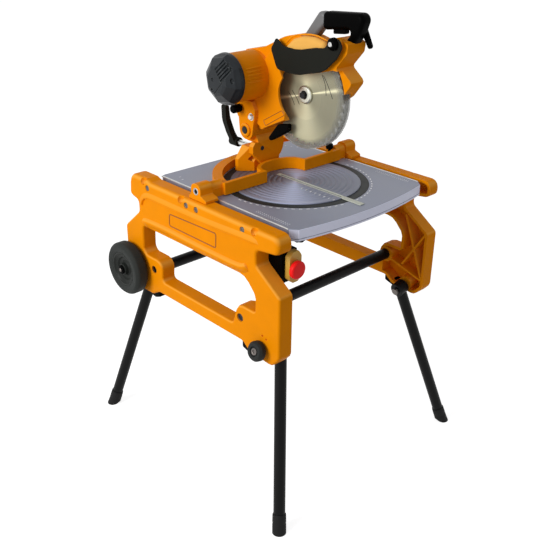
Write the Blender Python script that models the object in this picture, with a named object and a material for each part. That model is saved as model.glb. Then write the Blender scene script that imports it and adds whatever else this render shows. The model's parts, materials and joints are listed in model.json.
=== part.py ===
"""Flip-over mitre and bench saw on folding legs.

Frame: +Z up, -Y towards the operator, +X to the operator's right, origin on the floor
midway between the four feet. Sizes below are millimetres; the mesh makers turn them
into metres.
"""

import math

import bmesh
import bpy
from mathutils import Vector

MM = 0.001
GAP = 0.3
LEFT = -1
RIGHT = 1

# Side frames: castings seen in the Y-Z plane, with (y, z, corner radius) outlines
FRAME_INNER = 252
FRAME_OUTER = 293
FRAME_WALL = 6
FRAME_OUTLINE = [
    (-310, 452, 16), (-310, 613, 12), (-229, 668, 14), (-229, 706, 12), (-302, 716, 14),
    (-303, 758, 20), (176, 757, 10), (192, 763, 10), (264, 763, 22), (269, 703, 16),
    (230, 694, 10), (230, 664, 16), (298, 606, 14), (298, 470, 26), (270, 432, 20),
    (190, 432, 10), (160, 449, 14), (-182, 449, 14), (-204, 431, 12), (-285, 424, 22),
]
FRAME_WINDOW = [
    (217, 626, 12), (-190, 629, 42), (-227, 590, 18), (-226, 546, 6), (-164, 547, 26),
    (-146, 486, 10), (142, 487, 12), (136, 545, 24), (211, 545, 14), (220, 560, 12),
]
FRAME_FLANGE = 8
RIB = 5
FRAME_RIBS = [
    ((-304, 470), (-234, 648)), ((-234, 500), (-304, 612)), ((-310, 470), (-175, 508)),
    ((-110, 615), (-110, 765)), ((0, 615), (0, 765)), ((110, 615), (110, 765)),
    ((232, 640), (300, 520)), ((175, 512), (271, 492)),
]
RAIL_Y = (-168, 146)
RAIL_POCKETS = [(-150, -56), (-51, 43), (48, 138)]
RAIL_POCKET_TOP = 478
BOLT_PLACES = [(184, 741), (23, 741), (-16, 741), (-184, 743)]
BOLT_RECESS = 8
SCOOPS_Y = (202, 46, -223)
SCOOP_RADIUS = 12
SCOOP_DEPTH = 6

# Cross tubes between the frames
TUBE_Y = 175
TUBE_Z = 512
TUBE_RADIUS = 15
TUBE_END = 284

# Legs: pivots inside the frames, splayed outwards to the feet
LEG_PIVOT_FRONT = (229.5, -252, 440)
LEG_PIVOT_REAR = (224.5, 259.5, 481)
FOOT_X = 339
FOOT_Y = 370
LEG_RADIUS = 15
KNUCKLE_RADIUS = 20
KNUCKLE_HALF = 15.6
LEG_BOLT_RADIUS = 6

# Transport wheels
WHEEL_Y = 264
WHEEL_Z = 495
WHEEL_X = 318
WHEEL_HALF = 20
WHEEL_RADIUS = 74
AXLE_RADIUS = 8

# Table, turntable and fence
FLIP_Z = 780
LUG_X = (240.3, 279)
LUG_TOP = 799
TABLE_HALF = 235
TABLE_REAR = 204
TABLE_CORNER_Y = -290
TABLE_BULGE = 26
TABLE_CHAMFER = 15
TABLE_TOP = 757.5
TABLE_BOTTOM = 734
PLATE_UNDERSIDE = 741
POCKET_TOP = 750
POCKET_RADIUS = 202
SKIRT = 8
BENCH_PLATE = (729, TABLE_BOTTOM - GAP)
TURN_Y = -60
TURN_RADIUS = 168
RING_RADIUS = 189
LEDGE_RADIUS = 150
LEDGE_Z = 745
TURN_TOP = 760
DISC_UNDERSIDE = 751
KERF_HALF = 7.7
KERF_ENDS = (-288, 5.5)
SLOT_Y = (-220, -4)
FENCE_BOTTOM = 760.4
FENCE_TOP = 791
FENCE_Y = (-26, -16)
FENCE_BAR = (68.5, 208)
FENCE_END = 239.5
BOW_FRONT = [(68, -25), (67, -8), (60, 8), (45, 20), (24, 28), (0, 31)]
BOW_REAR = [(77, -25), (76, -6), (67.5, 14), (50, 27.5), (26.5, 36.5), (0, 40)]
LOOP_RADII = (188.5, 214)
LOOP_TOP = 781
SHAFT_RADIUS = 9
LATCH_PLACE = (-192, -272)
FENCE_KNOB_PLACE = (186, -4)

# Head: bevel axis lies in the table surface, chop hinge above the rear of the turntable
BEVEL_Z = 760
TRUNNION_Y = (62, 101)
TILT_PLATE_Y = (46, 61.7)
CLAMP_RADIUS = 50
HINGE_Y = 74
HINGE_Z = 873
BARREL_RADIUS = 24
BARREL_HALF = 33.7
CHEEK_X = (34, 52)
HINGE_PIN_RADIUS = 9

# Blade, motor and drive
ARBOR_Y = -90
ARBOR_Z = 987
BLADE_RADIUS = 125
BLADE_HALF = 1.3
BLADE_TEETH = 36
BLADE_BORE = 15
GUARD_RADIUS = 132
GUARD_HALF = 12
GUARD_FROM = -130
GUARD_SWEEP = 172
HOOD_RADIUS = 142
HOOD_INSIDE = 137
ARM_HALF = 30
SLOT_HALF = 14.3
MOTOR_Y = 61
MOTOR_Z = 1016
MOTOR_RADIUS = 62
MOTOR_END = 120
MOTOR_PULLEY = 18
ARBOR_PULLEY = 30
BELT_THICKNESS = 4
COVER_RADIUS = 42
LEVER_PIVOT = (-240, 1152)
LEFT_CUTOUT = 58
LEFT_UNDERCUT = 78
PAD_FACE = 40
PAD_RIM = 35
SHIELD_BOLT = (-212, 1126)

# Stop button on the switch plate
BUTTON_CENTRE = (-226, 0, 662)
BUTTON_STEM = 9
BUTTON_TRAVEL = 3
PLATE_FACE = 288

# Return spring round the right end of the hinge pin
SPRING_RADIUS = 17
SPRING_WIRE = 1.8
SPRING_PITCH = 4.4
SPRING_TURNS = 4
SPRING_START = 55


def finish(name, colour, roughness, metallic=0.0, alpha=1.0):
    """A Principled material with one colour."""
    material = bpy.data.materials.new(name)
    material.use_nodes = True
    shader = material.node_tree.nodes["Principled BSDF"]
    shader.inputs["Base Color"].default_value = (*colour, 1.0)
    shader.inputs["Roughness"].default_value = roughness
    shader.inputs["Metallic"].default_value = metallic
    shader.inputs["Alpha"].default_value = alpha
    return material


def empty(name, x, y, z, parent=None):
    """An empty on a joint's axis, which carries the pieces that turn or slide there."""
    pivot = bpy.data.objects.new(name, None)
    pivot.empty_display_size = 0.03
    bpy.context.scene.collection.objects.link(pivot)
    pivot.location = Vector((x, y, z)) * MM
    if parent:
        pivot.parent = parent
        pivot.matrix_parent_inverse = parent.matrix_world.inverted()
    bpy.context.view_layer.update()
    return pivot


def piece(name, solid, material, pivot=None):
    """One named sub-part from a closed mesh, shaded smooth up to its sharp edges."""
    mesh = bpy.data.meshes.new(name)
    solid.to_mesh(mesh)
    solid.free()
    mesh.materials.append(material)
    mesh.shade_smooth()
    mesh.set_sharp_from_angle(angle=math.radians(35))
    part = bpy.data.objects.new(name, mesh)
    bpy.context.scene.collection.objects.link(part)
    if pivot:
        part.parent = pivot
        part.matrix_parent_inverse = pivot.matrix_world.inverted()
    return part


def arc(centre, radius, start, end, steps):
    """Points of a circular arc in a plane, angles in degrees, both ends included."""
    angles = [math.radians(start + (end - start) * i / steps) for i in range(steps + 1)]
    return [(centre[0] + radius * math.cos(a), centre[1] + radius * math.sin(a)) for a in angles]


def rounded(corners, degrees_per_step=30):
    """A closed outline whose corners (a, b, radius) are rounded off by arcs."""
    outline = []
    for i, (a, b, radius) in enumerate(corners):
        here = Vector((a, b))
        back = (Vector(corners[i - 1][:2]) - here).normalized()
        ahead = (Vector(corners[(i + 1) % len(corners)][:2]) - here).normalized()
        if radius == 0:
            outline.append((a, b))
            continue
        half = back.angle(ahead) / 2
        reach = radius / math.tan(half)
        centre = here + (back + ahead).normalized() * (radius / math.sin(half))
        first = here + back * reach - centre
        last = here + ahead * reach - centre
        start = math.degrees(math.atan2(first.y, first.x))
        turn = (math.degrees(math.atan2(last.y, last.x)) - start + 180) % 360 - 180
        steps = max(1, round(abs(turn) / degrees_per_step))
        outline += arc(centre, radius, start, start + turn, steps)
    return outline


def belt_line(centre_a, radius_a, centre_b, radius_b, steps=10):
    """The closed outline of a band stretched round two circles."""
    a = Vector(centre_a)
    b = Vector(centre_b)
    along = math.degrees(math.atan2(b.y - a.y, b.x - a.x))
    lean = math.degrees(math.acos((radius_a - radius_b) / (b - a).length))
    outline = arc(a, radius_a, along + lean, along + 360 - lean, steps)
    outline += arc(b, radius_b, along - lean, along + lean, steps)
    return outline


def prism(outline, axis, low, high):
    """A plane outline carried along one axis from low to high."""
    place = {
        "X": lambda a, b, h: (h, a, b),
        "Y": lambda a, b, h: (a, h, b),
        "Z": lambda a, b, h: (a, b, h),
    }[axis]
    solid = bmesh.new()
    low_end = [solid.verts.new(Vector(place(a, b, low)) * MM) for a, b in outline]
    solid.faces.new(low_end)
    extruded = bmesh.ops.extrude_face_region(solid, geom=solid.faces[:])
    moved = [item for item in extruded["geom"] if isinstance(item, bmesh.types.BMVert)]
    bmesh.ops.translate(solid, vec=Vector(place(0, 0, high - low)) * MM, verts=moved)
    bmesh.ops.recalc_face_normals(solid, faces=solid.faces[:])
    return solid


def box(x, y, z):
    """A block between pairs of coordinates."""
    return prism([(x[0], y[0]), (x[1], y[0]), (x[1], y[1]), (x[0], y[1])], "Z", *z)


def turned(profile, centre, direction, sides=24, ring=False, zero=None, start=0, sweep=360):
    """A profile of (radius, height) turned about a line through centre along direction.

    A profile that starts and ends at radius 0 closes on the line, and a ring closes on
    itself. A sweep under 360 degrees is closed by flat ends.
    """
    axis = Vector(direction).normalized()
    side = Vector(zero) if zero else axis.orthogonal()
    side = side.normalized()
    across = axis.cross(side)
    whole = sweep == 360
    solid = bmesh.new()
    poles = {}
    rows = []
    for step in range(sides if whole else sides + 1):
        angle = math.radians(start + sweep * step / sides)
        outward = side * math.cos(angle) + across * math.sin(angle)
        row = []
        for index, (radius, height) in enumerate(profile):
            place = (Vector(centre) + axis * height + outward * radius) * MM
            if radius == 0:
                if index not in poles:
                    poles[index] = solid.verts.new(place)
                row.append(poles[index])
            else:
                row.append(solid.verts.new(place))
        rows.append(row)
    if whole:
        rows.append(rows[0])
    last = len(profile) if ring else len(profile) - 1
    for row, following in zip(rows, rows[1:]):
        for i in range(last):
            j = (i + 1) % len(profile)
            loop = [row[i], row[j], following[j], following[i]]
            corners = list(dict.fromkeys(loop))
            if len(corners) > 2:
                solid.faces.new(corners)
    if not whole:
        solid.faces.new(rows[0])
        solid.faces.new(rows[-1])
    bmesh.ops.recalc_face_normals(solid, faces=solid.faces[:])
    return solid


def rod(centre, direction, radius, low, high, sides=16):
    """A plain round bar along direction, from low to high."""
    return turned([(0, low), (radius, low), (radius, high), (0, high)], centre, direction, sides)


def gather(*solids):
    """Several separate bodies in one mesh."""
    group = bmesh.new()
    for solid in solids:
        mesh = bpy.data.meshes.new("gathered")
        solid.to_mesh(mesh)
        solid.free()
        group.from_mesh(mesh)
        bpy.data.meshes.remove(mesh)
    return group


def combined(base, tool, operation):
    """The closed mesh that a Boolean modifier leaves of base and tool."""
    workers = []
    for solid in (base, tool):
        mesh = bpy.data.meshes.new("worker")
        solid.to_mesh(mesh)
        solid.free()
        worker = bpy.data.objects.new("worker", mesh)
        bpy.context.scene.collection.objects.link(worker)
        workers.append(worker)
    modifier = workers[0].modifiers.new("combine", "BOOLEAN")
    modifier.operation = operation
    modifier.object = workers[1]
    bpy.context.view_layer.update()
    result = bmesh.new()
    result.from_object(workers[0], bpy.context.evaluated_depsgraph_get())
    for worker in workers:
        mesh = worker.data
        bpy.data.objects.remove(worker)
        bpy.data.meshes.remove(mesh)
    bmesh.ops.remove_doubles(result, verts=result.verts[:], dist=1e-6)
    bmesh.ops.dissolve_degenerate(result, edges=result.edges[:], dist=1e-6)
    return result


def cut(base, tool):
    return combined(base, tool, "DIFFERENCE")


def join(base, *others):
    for other in others:
        base = combined(base, other, "UNION")
    return base


def leg_lines(side, front):
    """Pivot, foot, unit run, length and outward hinge line of one leg."""
    x, y, z = LEG_PIVOT_FRONT if front else LEG_PIVOT_REAR
    pivot = Vector((side * x, y, z))
    foot = Vector((side * FOOT_X, -FOOT_Y if front else FOOT_Y, 0))
    run = foot - pivot
    outward = Vector((-side * run.z, 0, side * run.x)).normalized()
    return pivot, foot, run.normalized(), run.length, outward


def inset(outline, distance):
    """An outline moved inwards, corner by corner."""
    moved = []
    area = sum(a[0] * b[1] - b[0] * a[1] for a, b in zip(outline, outline[1:] + outline[:1]))
    turn = distance if area > 0 else -distance
    for i, corner in enumerate(outline):
        into = (Vector(corner) - Vector(outline[i - 1])).normalized()
        away = (Vector(outline[(i + 1) % len(outline)]) - Vector(corner)).normalized()
        normal = Vector((-into.y - away.y, into.x + away.x)).normalized()
        stretch = normal.dot(Vector((-into.y, into.x)))
        moved.append(tuple(Vector(corner) + normal * (turn / stretch)))
    return moved


def rib(start, end, low, high):
    """A straight upright rib between two points of a side frame."""
    along = Vector(end) - Vector(start)
    half = Vector((-along.y, along.x)).normalized() * (RIB / 2)
    corners = [Vector(start) + half, Vector(start) - half, Vector(end) - half, Vector(end) + half]
    return prism([tuple(corner) for corner in corners], "X", low, high)


def side_frame(side):
    """One cast side frame: a thin web with a flange, ribs and bosses on its inner side."""
    low, high = sorted((side * FRAME_INNER, side * FRAME_OUTER))
    outward = (side, 0, 0)
    outline = rounded(FRAME_OUTLINE)
    mouth = sorted((side * (FRAME_INNER - 1), side * (FRAME_OUTER - FRAME_WALL)))
    window = rounded(FRAME_WINDOW)
    hollow = prism(inset(outline, FRAME_FLANGE), "X", *mouth)
    hollow = cut(hollow, prism(inset(window, -FRAME_FLANGE), "X", low - 9, high + 9))
    hollow = cut(hollow, box((low - 9, high + 9), RAIL_Y, (420, TUBE_Z + 3)))
    bosses = [((0, y, TUBE_Z), outward, TUBE_RADIUS + 8) for y in (-TUBE_Y, TUBE_Y)]
    bosses.append(((0, WHEEL_Y, WHEEL_Z), outward, AXLE_RADIUS + 10))
    for front in (True, False):
        pivot, _, _, _, hinge = leg_lines(side, front)
        bosses.append((pivot, hinge, KNUCKLE_RADIUS))
    for centre, direction, radius in bosses:
        hollow = cut(hollow, rod(centre, direction, radius, -5, FRAME_OUTER + 50, 20))
    for start, end in FRAME_RIBS:
        hollow = cut(hollow, rib(start, end, low - 9, high + 9))
    frame = cut(prism(outline, "X", low, high), hollow)
    tools = [prism(window, "X", low - 1, high + 1)]
    for pocket in RAIL_POCKETS:
        tools.append(box((low + FRAME_WALL, high - FRAME_WALL), pocket, (440, RAIL_POCKET_TOP)))
    for y in (-TUBE_Y, TUBE_Y):
        tools.append(rod((0, y, TUBE_Z), outward, TUBE_RADIUS + GAP, FRAME_INNER - 1, TUBE_END + GAP, 20))
    tools.append(rod((0, WHEEL_Y, WHEEL_Z), outward, AXLE_RADIUS + GAP, FRAME_OUTER - 20.5, FRAME_OUTER + 1))
    for front, depth in ((True, 90), (False, 44)):
        pivot, _, _, _, hinge = leg_lines(side, front)
        tools.append(rod(pivot, hinge, LEG_BOLT_RADIUS + GAP, 10, depth, 12))
    for y, z in BOLT_PLACES:
        tools.append(rod((0, y, z), outward, BOLT_RECESS, FRAME_OUTER - 3, FRAME_OUTER + 1))
    for y in SCOOPS_Y:
        rim = max(z for place, z, _ in FRAME_OUTLINE if (place > 150) == (y > 150))
        centre = (side * (FRAME_OUTER + 2), y, rim)
        tools.append(rod(centre, (0, 0, 1), SCOOP_RADIUS, -SCOOP_DEPTH, 5))
    frame = cut(frame, gather(*tools))
    for front in (True, False):
        pivot, _, run, _, _ = leg_lines(side, front)
        frame = cut(frame, rod(pivot, run, LEG_RADIUS + 2, 20, 90, 14))
    return frame


def pivot_lug(side):
    """The lug on a frame's top edge that carries one end of the table's flip shaft."""
    foot = FRAME_OUTLINE[5][1] + GAP
    outline = rounded([
        (-38, foot, 0), (26, foot, 0), (26, foot + 7, 3), (18, foot + 12, 4), (18, LUG_TOP, 13),
        (-18, LUG_TOP, 13), (-18, foot + 14, 4), (-38, foot + 7, 3),
    ])
    body = prism(outline, "X", *sorted((side * LUG_X[0], side * LUG_X[1])))
    return cut(body, rod((0, 0, FLIP_Z), (side, 0, 0), SHAFT_RADIUS + GAP, 235, 285, 20))


def leg_tube(side, front):
    """A leg: tube, tapered sleeve and the round knuckle that turns on the leg bolt."""
    pivot, _, run, length, hinge = leg_lines(side, front)
    leg = rod(pivot, run, LEG_RADIUS, 4, length - 8.5, 14)
    leg = join(leg, rod(pivot, hinge, KNUCKLE_RADIUS, -KNUCKLE_HALF, KNUCKLE_HALF, 20))
    return cut(leg, rod(pivot, hinge, LEG_BOLT_RADIUS + GAP, -30, 30, 12))


def leg_foot(side, front):
    """A rubber cup on the leg's end, cut flat where it stands on the floor."""
    pivot, foot, run, length, _ = leg_lines(side, front)
    profile = [
        (LEG_RADIUS + GAP, length - 46), (17, length - 46), (19, length - 14), (19, length + 10),
        (0, length + 10), (0, length - 8), (LEG_RADIUS + GAP, length - 8),
    ]
    cup = turned(profile, pivot, run, 14, ring=True)
    below = box((foot.x - 60, foot.x + 60), (foot.y - 60, foot.y + 60), (-60, 0))
    return cut(cup, below)


def leg_bolt(side):
    """The bolt a rear leg turns on: a head inside, then a shank into the frame."""
    pivot, _, _, _, hinge = leg_lines(side, False)
    profile = [(0, -24), (10, -24), (10, -16), (LEG_BOLT_RADIUS, -16), (LEG_BOLT_RADIUS, 42), (0, 42)]
    return turned(profile, pivot, hinge, 12)


def leg_knob(side):
    """The hand knob of a front leg, with the stud the leg turns on and its end nut."""
    pivot, _, _, _, hinge = leg_lines(side, True)
    profile = [
        (0, -24), (10, -24), (10, -16), (LEG_BOLT_RADIUS, -16), (LEG_BOLT_RADIUS, 70), (12, 70),
        (15, 73), (25, 75), (25, 88), (21, 93), (0, 93),
    ]
    return turned(profile, pivot, hinge, 16)


def wheel_axle(side):
    profile = [
        (0, 272.8), (AXLE_RADIUS, 272.8), (AXLE_RADIUS, FRAME_OUTER + GAP), (12, FRAME_OUTER + GAP),
        (12, 298), (AXLE_RADIUS, 298), (AXLE_RADIUS, 338.5), (13, 338.5), (13, 344), (0, 344),
    ]
    return turned(profile, (0, WHEEL_Y, WHEEL_Z), (side, 0, 0), 14)


def tyre(side):
    rim = WHEEL_RADIUS - 8
    face = WHEEL_HALF
    profile = [
        (48, 3 - face), (rim, -face), (WHEEL_RADIUS, 10 - face),
        (WHEEL_RADIUS, face - 10), (rim, face), (48, face - 3),
    ]
    return turned(profile, (side * WHEEL_X, WHEEL_Y, WHEEL_Z), (side, 0, 0), 20, ring=True)


def wheel_hub(side):
    bore = AXLE_RADIUS + GAP
    profile = [
        (bore, -19.5), (15, -19.5), (20, -9), (47, -16), (47, 16), (20, 9), (15, 19.5), (bore, 19.5),
    ]
    return turned(profile, (side * WHEEL_X, WHEEL_Y, WHEEL_Z), (side, 0, 0), 20, ring=True)


def table_outline(inset=0):
    """The table's plan: straight sides and rear, front edge bowed towards the operator."""
    half = TABLE_HALF - inset
    rear = TABLE_REAR - inset
    outline = arc((half - 12, rear - 12), 12, 0, 90, 3) + arc((12 - half, rear - 12), 12, 90, 180, 3)
    outline.append((-half, TABLE_CORNER_Y + inset + TABLE_CHAMFER))
    for i in range(13):
        x = (half - TABLE_CHAMFER) * (i / 6 - 1)
        outline.append((x, TABLE_CORNER_Y + inset - TABLE_BULGE * (1 - (x / half) ** 2)))
    outline.append((half, TABLE_CORNER_Y + inset + TABLE_CHAMFER))
    return outline


def table_top():
    """The table casting: plate, skirt and the stepped seat of the turntable."""
    body = prism(table_outline(), "Z", TABLE_BOTTOM, TABLE_TOP)
    body = cut(body, prism(table_outline(SKIRT), "Z", TABLE_BOTTOM - 1, PLATE_UNDERSIDE))
    pocket = prism(table_outline(SKIRT), "Z", PLATE_UNDERSIDE - 1, POCKET_TOP)
    collar = rod((0, TURN_Y, 0), (0, 0, 1), POCKET_RADIUS, TABLE_BOTTOM, TABLE_TOP, 48)
    body = cut(body, cut(pocket, collar))
    seat = [
        (0, 700), (LEDGE_RADIUS, 700), (LEDGE_RADIUS, LEDGE_Z), (RING_RADIUS + 0.5, LEDGE_Z),
        (RING_RADIUS + 0.5, 770), (0, 770),
    ]
    return cut(body, turned(seat, (0, TURN_Y, 0), (0, 0, 1), 48))


def bench_plate():
    """The flat underside, which is the bench-saw table when the top is turned over."""
    plate = prism(table_outline(), "Z", *BENCH_PLATE)
    blade_slot = box((-9, 9), (SLOT_Y[0] - 8, SLOT_Y[1]), (700, 740))
    latch_hole = rod((*LATCH_PLACE, 0), (0, 0, 1), 4 + GAP, 700, 740, 12)
    return cut(plate, gather(blade_slot, latch_hole))


def turntable_ring():
    profile = [
        (TURN_RADIUS + 0.4, LEDGE_Z + GAP), (RING_RADIUS, LEDGE_Z + GAP),
        (RING_RADIUS, TABLE_TOP), (TURN_RADIUS + 0.4, TABLE_TOP),
    ]
    return turned(profile, (0, TURN_Y, 0), (0, 0, 1), 48, ring=True)


def turntable():
    """The round mitre table, slotted for the blade and grooved for the kerf strip."""
    plate = rod((0, TURN_Y, 0), (0, 0, 1), TURN_RADIUS, LEDGE_Z + GAP, TURN_TOP, 48)
    plate = cut(plate, box((-4.5, 9.5), SLOT_Y, (740, 765)))
    groove = box((-KERF_HALF - GAP, KERF_HALF + GAP), (-260, KERF_ENDS[1] + GAP), (TABLE_TOP, 765))
    plate = cut(plate, groove)
    return cut(plate, rod((0, TURN_Y, 0), (0, 0, 1), LEDGE_RADIUS - 4, 740, DISC_UNDERSIDE, 48))


def kerf_insert():
    """The pale strip with the blade slot, whose front end is the mitre pointer."""
    strip = box((-KERF_HALF, KERF_HALF), KERF_ENDS, (TABLE_TOP + GAP, TURN_TOP - 0.1))
    return cut(strip, box((-2.3, 3.5), SLOT_Y, (750, 765)))


def fence():
    """The cast fence: two bars, the bow behind the blade, the left loop and end bosses."""
    up = (0, 0, 1)
    front = BOW_FRONT + [(-x, y) for x, y in BOW_FRONT[-2::-1]]
    rear = BOW_REAR + [(-x, y) for x, y in BOW_REAR[-2::-1]]
    casting = prism(rear + front[::-1], "Z", FENCE_BOTTOM, FENCE_TOP - 1)
    gusset = [(FENCE_Y[1] - 1, FENCE_BOTTOM), (2, FENCE_BOTTOM), (FENCE_Y[1] - 1, FENCE_TOP - 6)]
    for side in (LEFT, RIGHT):
        bar = sorted(side * x for x in FENCE_BAR)
        casting = join(casting, box(bar, FENCE_Y, (FENCE_BOTTOM, FENCE_TOP)))
        casting = join(casting, prism(gusset, "X", *sorted((side * 80, side * 86))))
    stop = box((-FENCE_BAR[1] + 0.2, -186), (FENCE_Y[0] + 0.2, 4), (FENCE_BOTTOM, FENCE_TOP - 4))
    casting = join(casting, stop)
    loop = [
        (LOOP_RADII[0], FENCE_BOTTOM), (LOOP_RADII[1], FENCE_BOTTOM),
        (LOOP_RADII[1], LOOP_TOP), (LOOP_RADII[0], LOOP_TOP),
    ]
    casting = join(casting, turned(loop, (0, TURN_Y, 0), up, 14, True, (1, 0, 0), 86, 78))
    for side in (LEFT, RIGHT):
        end = sorted((side * 204, side * (FENCE_END - 0.1)))
        casting = join(casting, box(end, (FENCE_Y[0] + 10, 24), (TABLE_TOP + GAP, LOOP_TOP - 1)))
        boss = [(-15, TABLE_TOP + 2)] + [(15, TABLE_TOP + 2)] + arc((0, FLIP_Z), 15, 0, 180, 8)
        casting = join(casting, prism(boss, "X", end[0] - 0.2, end[1] + 0.2))
        casting = cut(casting, rod((0, 0, FLIP_Z), (side, 0, 0), SHAFT_RADIUS + GAP, 216, 245, 20))
    casting = join(casting, box((172, 206), (FENCE_Y[1] - 2, 7), (FENCE_BOTTOM, LOOP_TOP - 2)))
    return cut(casting, rod((*FENCE_KNOB_PLACE, 0), up, 4 + GAP, 765, 785, 12))


def fence_knob():
    """The hand knob behind the right-hand fence."""
    profile = [(0, 767), (4, 767), (4, 790), (9, 792), (11, 798), (9, 806), (0, 807)]
    return turned(profile, (*FENCE_KNOB_PLACE, 0), (0, 0, 1), 16)


def table_latch():
    """The spring knob under the table's front left corner."""
    profile = [(0, 714), (8.5, 714), (8.5, 726), (4, 728), (4, 739), (0, 739)]
    return turned(profile, (*LATCH_PLACE, 0), (0, 0, 1), 16)


def bevel_trunnion():
    """The fixed bracket on the turntable, with the arc slot of the bevel clamp."""
    low = TURN_TOP + GAP
    front, rear = TRUNNION_Y
    body = prism([(-66, low), (66, low), (66, 792), (42, 825), (-42, 825), (-66, 792)], "Y", front, rear)
    for side in (LEFT, RIGHT):
        corner = [(side * 70, front - 1), (side * 32, front - 1), (side * 70, rear - 8)]
        body = cut(body, prism(corner, "Z", 750, 830))
    slot = [
        (CLAMP_RADIUS - 7, front - 2), (CLAMP_RADIUS + 7, front - 2),
        (CLAMP_RADIUS + 7, rear + 2), (CLAMP_RADIUS - 7, rear + 2),
    ]
    arc_tool = turned(slot, (0, 0, BEVEL_Z), (0, 1, 0), 10, True, (0, 0, 1), -55, 64)
    return cut(body, arc_tool)


def tilt_bracket():
    """The bracket that tilts for bevel cuts and carries the chop hinge's barrel."""
    face = [(0.5, 761.2), (20, 763), (34, 771), (41, 781), (43, 792.5), (50, 800), (56.5, 813)]
    face += [(59, 826), (57, 842), (-44, 842), (-52, 832), (-52, 813.7)]
    plate = prism(face, "Y", *TILT_PLATE_Y)
    neck = [
        (46, 812), (46, 843), (58, 862), (HINGE_Y, HINGE_Z), (96, 868), (96, 846), (90, 838.5),
        (61.7, 838.5), (61.7, 812),
    ]
    hinge = (0, HINGE_Y, HINGE_Z)
    body = join(plate, prism(neck, "X", -BARREL_HALF + 0.7, BARREL_HALF - 0.7))
    body = join(body, rod(hinge, (1, 0, 0), BARREL_RADIUS, -BARREL_HALF, BARREL_HALF, 24))
    body = cut(body, rod(hinge, (1, 0, 0), HINGE_PIN_RADIUS + GAP, -60, 60, 20))
    clamp = (0, 0, BEVEL_Z + CLAMP_RADIUS)
    return cut(body, rod(clamp, (0, 1, 0), 6 + GAP, 50, 70, 12))


def hinge_pin():
    profile = [
        (0, -58), (14, -58), (14, -52.6), (HINGE_PIN_RADIUS, -52.6),
        (HINGE_PIN_RADIUS, 76), (13, 76), (13, 81), (0, 81),
    ]
    return turned(profile, (0, HINGE_Y, HINGE_Z), (1, 0, 0), 20)


def bevel_lever():
    """The clamp stud through the trunnion's slot, with its curved hand lever."""
    height = BEVEL_Z + CLAMP_RADIUS
    profile = [
        (0, 50.5), (6, 50.5), (6, 101.6), (12, 101.6), (12, 106), (7, 108), (7, 160),
        (13, 160), (13, 190), (0, 190),
    ]
    stud = turned(profile, (0, 0, height), (0, 1, 0), 16)
    arm = [
        (8, height, 3), (-10, height + 30, 40), (-26, height + 72, 40), (-30, height + 106, 5),
        (-43, height + 107, 5), (-41, height + 66, 40), (-27, height + 28, 40), (-11, height - 4, 3),
    ]
    return join(stud, prism(rounded(arm), "Y", 166, 183))


def hood_arc(radius, start, end, steps):
    """Arc round the arbor: 0 degrees is the front, 90 the top, 180 the rear."""
    return [(2 * ARBOR_Y - y, z) for y, z in arc((ARBOR_Y, ARBOR_Z), radius, start, end, steps)]


def saw_arm():
    """The head casting: blade hood, left cut-out, nose, rear block and hinge cheeks."""
    outline = rounded([
        (104, 893, 6), (37, 878, 6), (-45, 917, 10), (-120, 934, 20), (-216, 1002, 6), (-246, 1041, 9),
        (-208, 1071, 6), (-240, 1108, 6), (-243, 1131, 8), (-191, 1138, 8), (-183, 1104, 0),
    ], 45)[:-1]
    outline += hood_arc(HOOD_RADIUS, 49, 122, 12)
    outline += [(30, 1086), (95, 1072), (120, 1040), (126, 990), (120, 925)]
    body = prism(outline, "X", -ARM_HALF, ARM_HALF)
    arbor = (0, ARBOR_Y, ARBOR_Z)
    hinge = (0, HINGE_Y, HINGE_Z)
    across = (1, 0, 0)
    body = cut(body, rod(arbor, across, HOOD_INSIDE, -SLOT_HALF, SLOT_HALF, 48))
    opening = [(-270, 1066), (-200, 1066), (-150, 1052), (-90, 1047), (-38, 1043)]
    opening += hood_arc(LEFT_UNDERCUT, 140, 234, 10) + [(-58, 902), (-270, 902)]
    body = cut(body, prism(opening, "X", -ARM_HALF - 1, -SLOT_HALF + 0.5))
    body = cut(body, rod(hinge, across, BARREL_RADIUS + 3, -CHEEK_X[0], CHEEK_X[0], 24))
    pad = [(-11, 1089), (19, 1058), (75, 955), (100, 938), (70, 911), (26, 884)]
    rim = pad + [(-55, 924)] + hood_arc(LEFT_CUTOUT, 234, 140, 10)
    body = join(body, prism(rim, "X", -PAD_FACE, -PAD_RIM))
    pad += hood_arc(LEFT_UNDERCUT, 234, 140, 10)
    body = join(body, prism(pad, "X", -PAD_RIM - 1, 1 - ARM_HALF))
    body = join(body, rod((0, MOTOR_Y, MOTOR_Z), across, MOTOR_RADIUS - 2, -PAD_FACE + 0.2, 2 - ARM_HALF, 28))
    body = join(body, rod((0, *SHIELD_BOLT), across, 14, -PAD_FACE, 2 - ARM_HALF, 16))
    block = [(42, 903), (104, 903), (115, 925), (111, 950), (52, 950), (40, 930)]
    body = join(body, prism(block, "X", -CHEEK_X[1], CHEEK_X[1]))
    cheek = arc((HINGE_Y, HINGE_Z), 25, 180, 360, 12) + [(103, 908), (43, 908)]
    for side in (LEFT, RIGHT):
        body = join(body, prism(cheek, "X", *sorted((side * CHEEK_X[0], side * (CHEEK_X[1] - 0.5)))))
    body = join(body, rod(arbor, across, 25, 8.6, 20, 24))
    bores = gather(
        rod(arbor, across, 12, 0, 40, 20),
        rod((0, MOTOR_Y, MOTOR_Z), across, 7 + GAP, -50, 40, 16),
        rod((0, 92, 928), across, 5 + GAP, -60, -38, 12),
        rod(hinge, across, HINGE_PIN_RADIUS + GAP, -60, 60, 20),
    )
    return cut(body, bores)


def motor_housing():
    start = PAD_FACE + 0.4
    profile = [(57, start), (MOTOR_RADIUS, start), (MOTOR_RADIUS, MOTOR_END), (57, MOTOR_END)]
    return turned(profile, (0, MOTOR_Y, MOTOR_Z), (-1, 0, 0), 28, ring=True)


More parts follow.
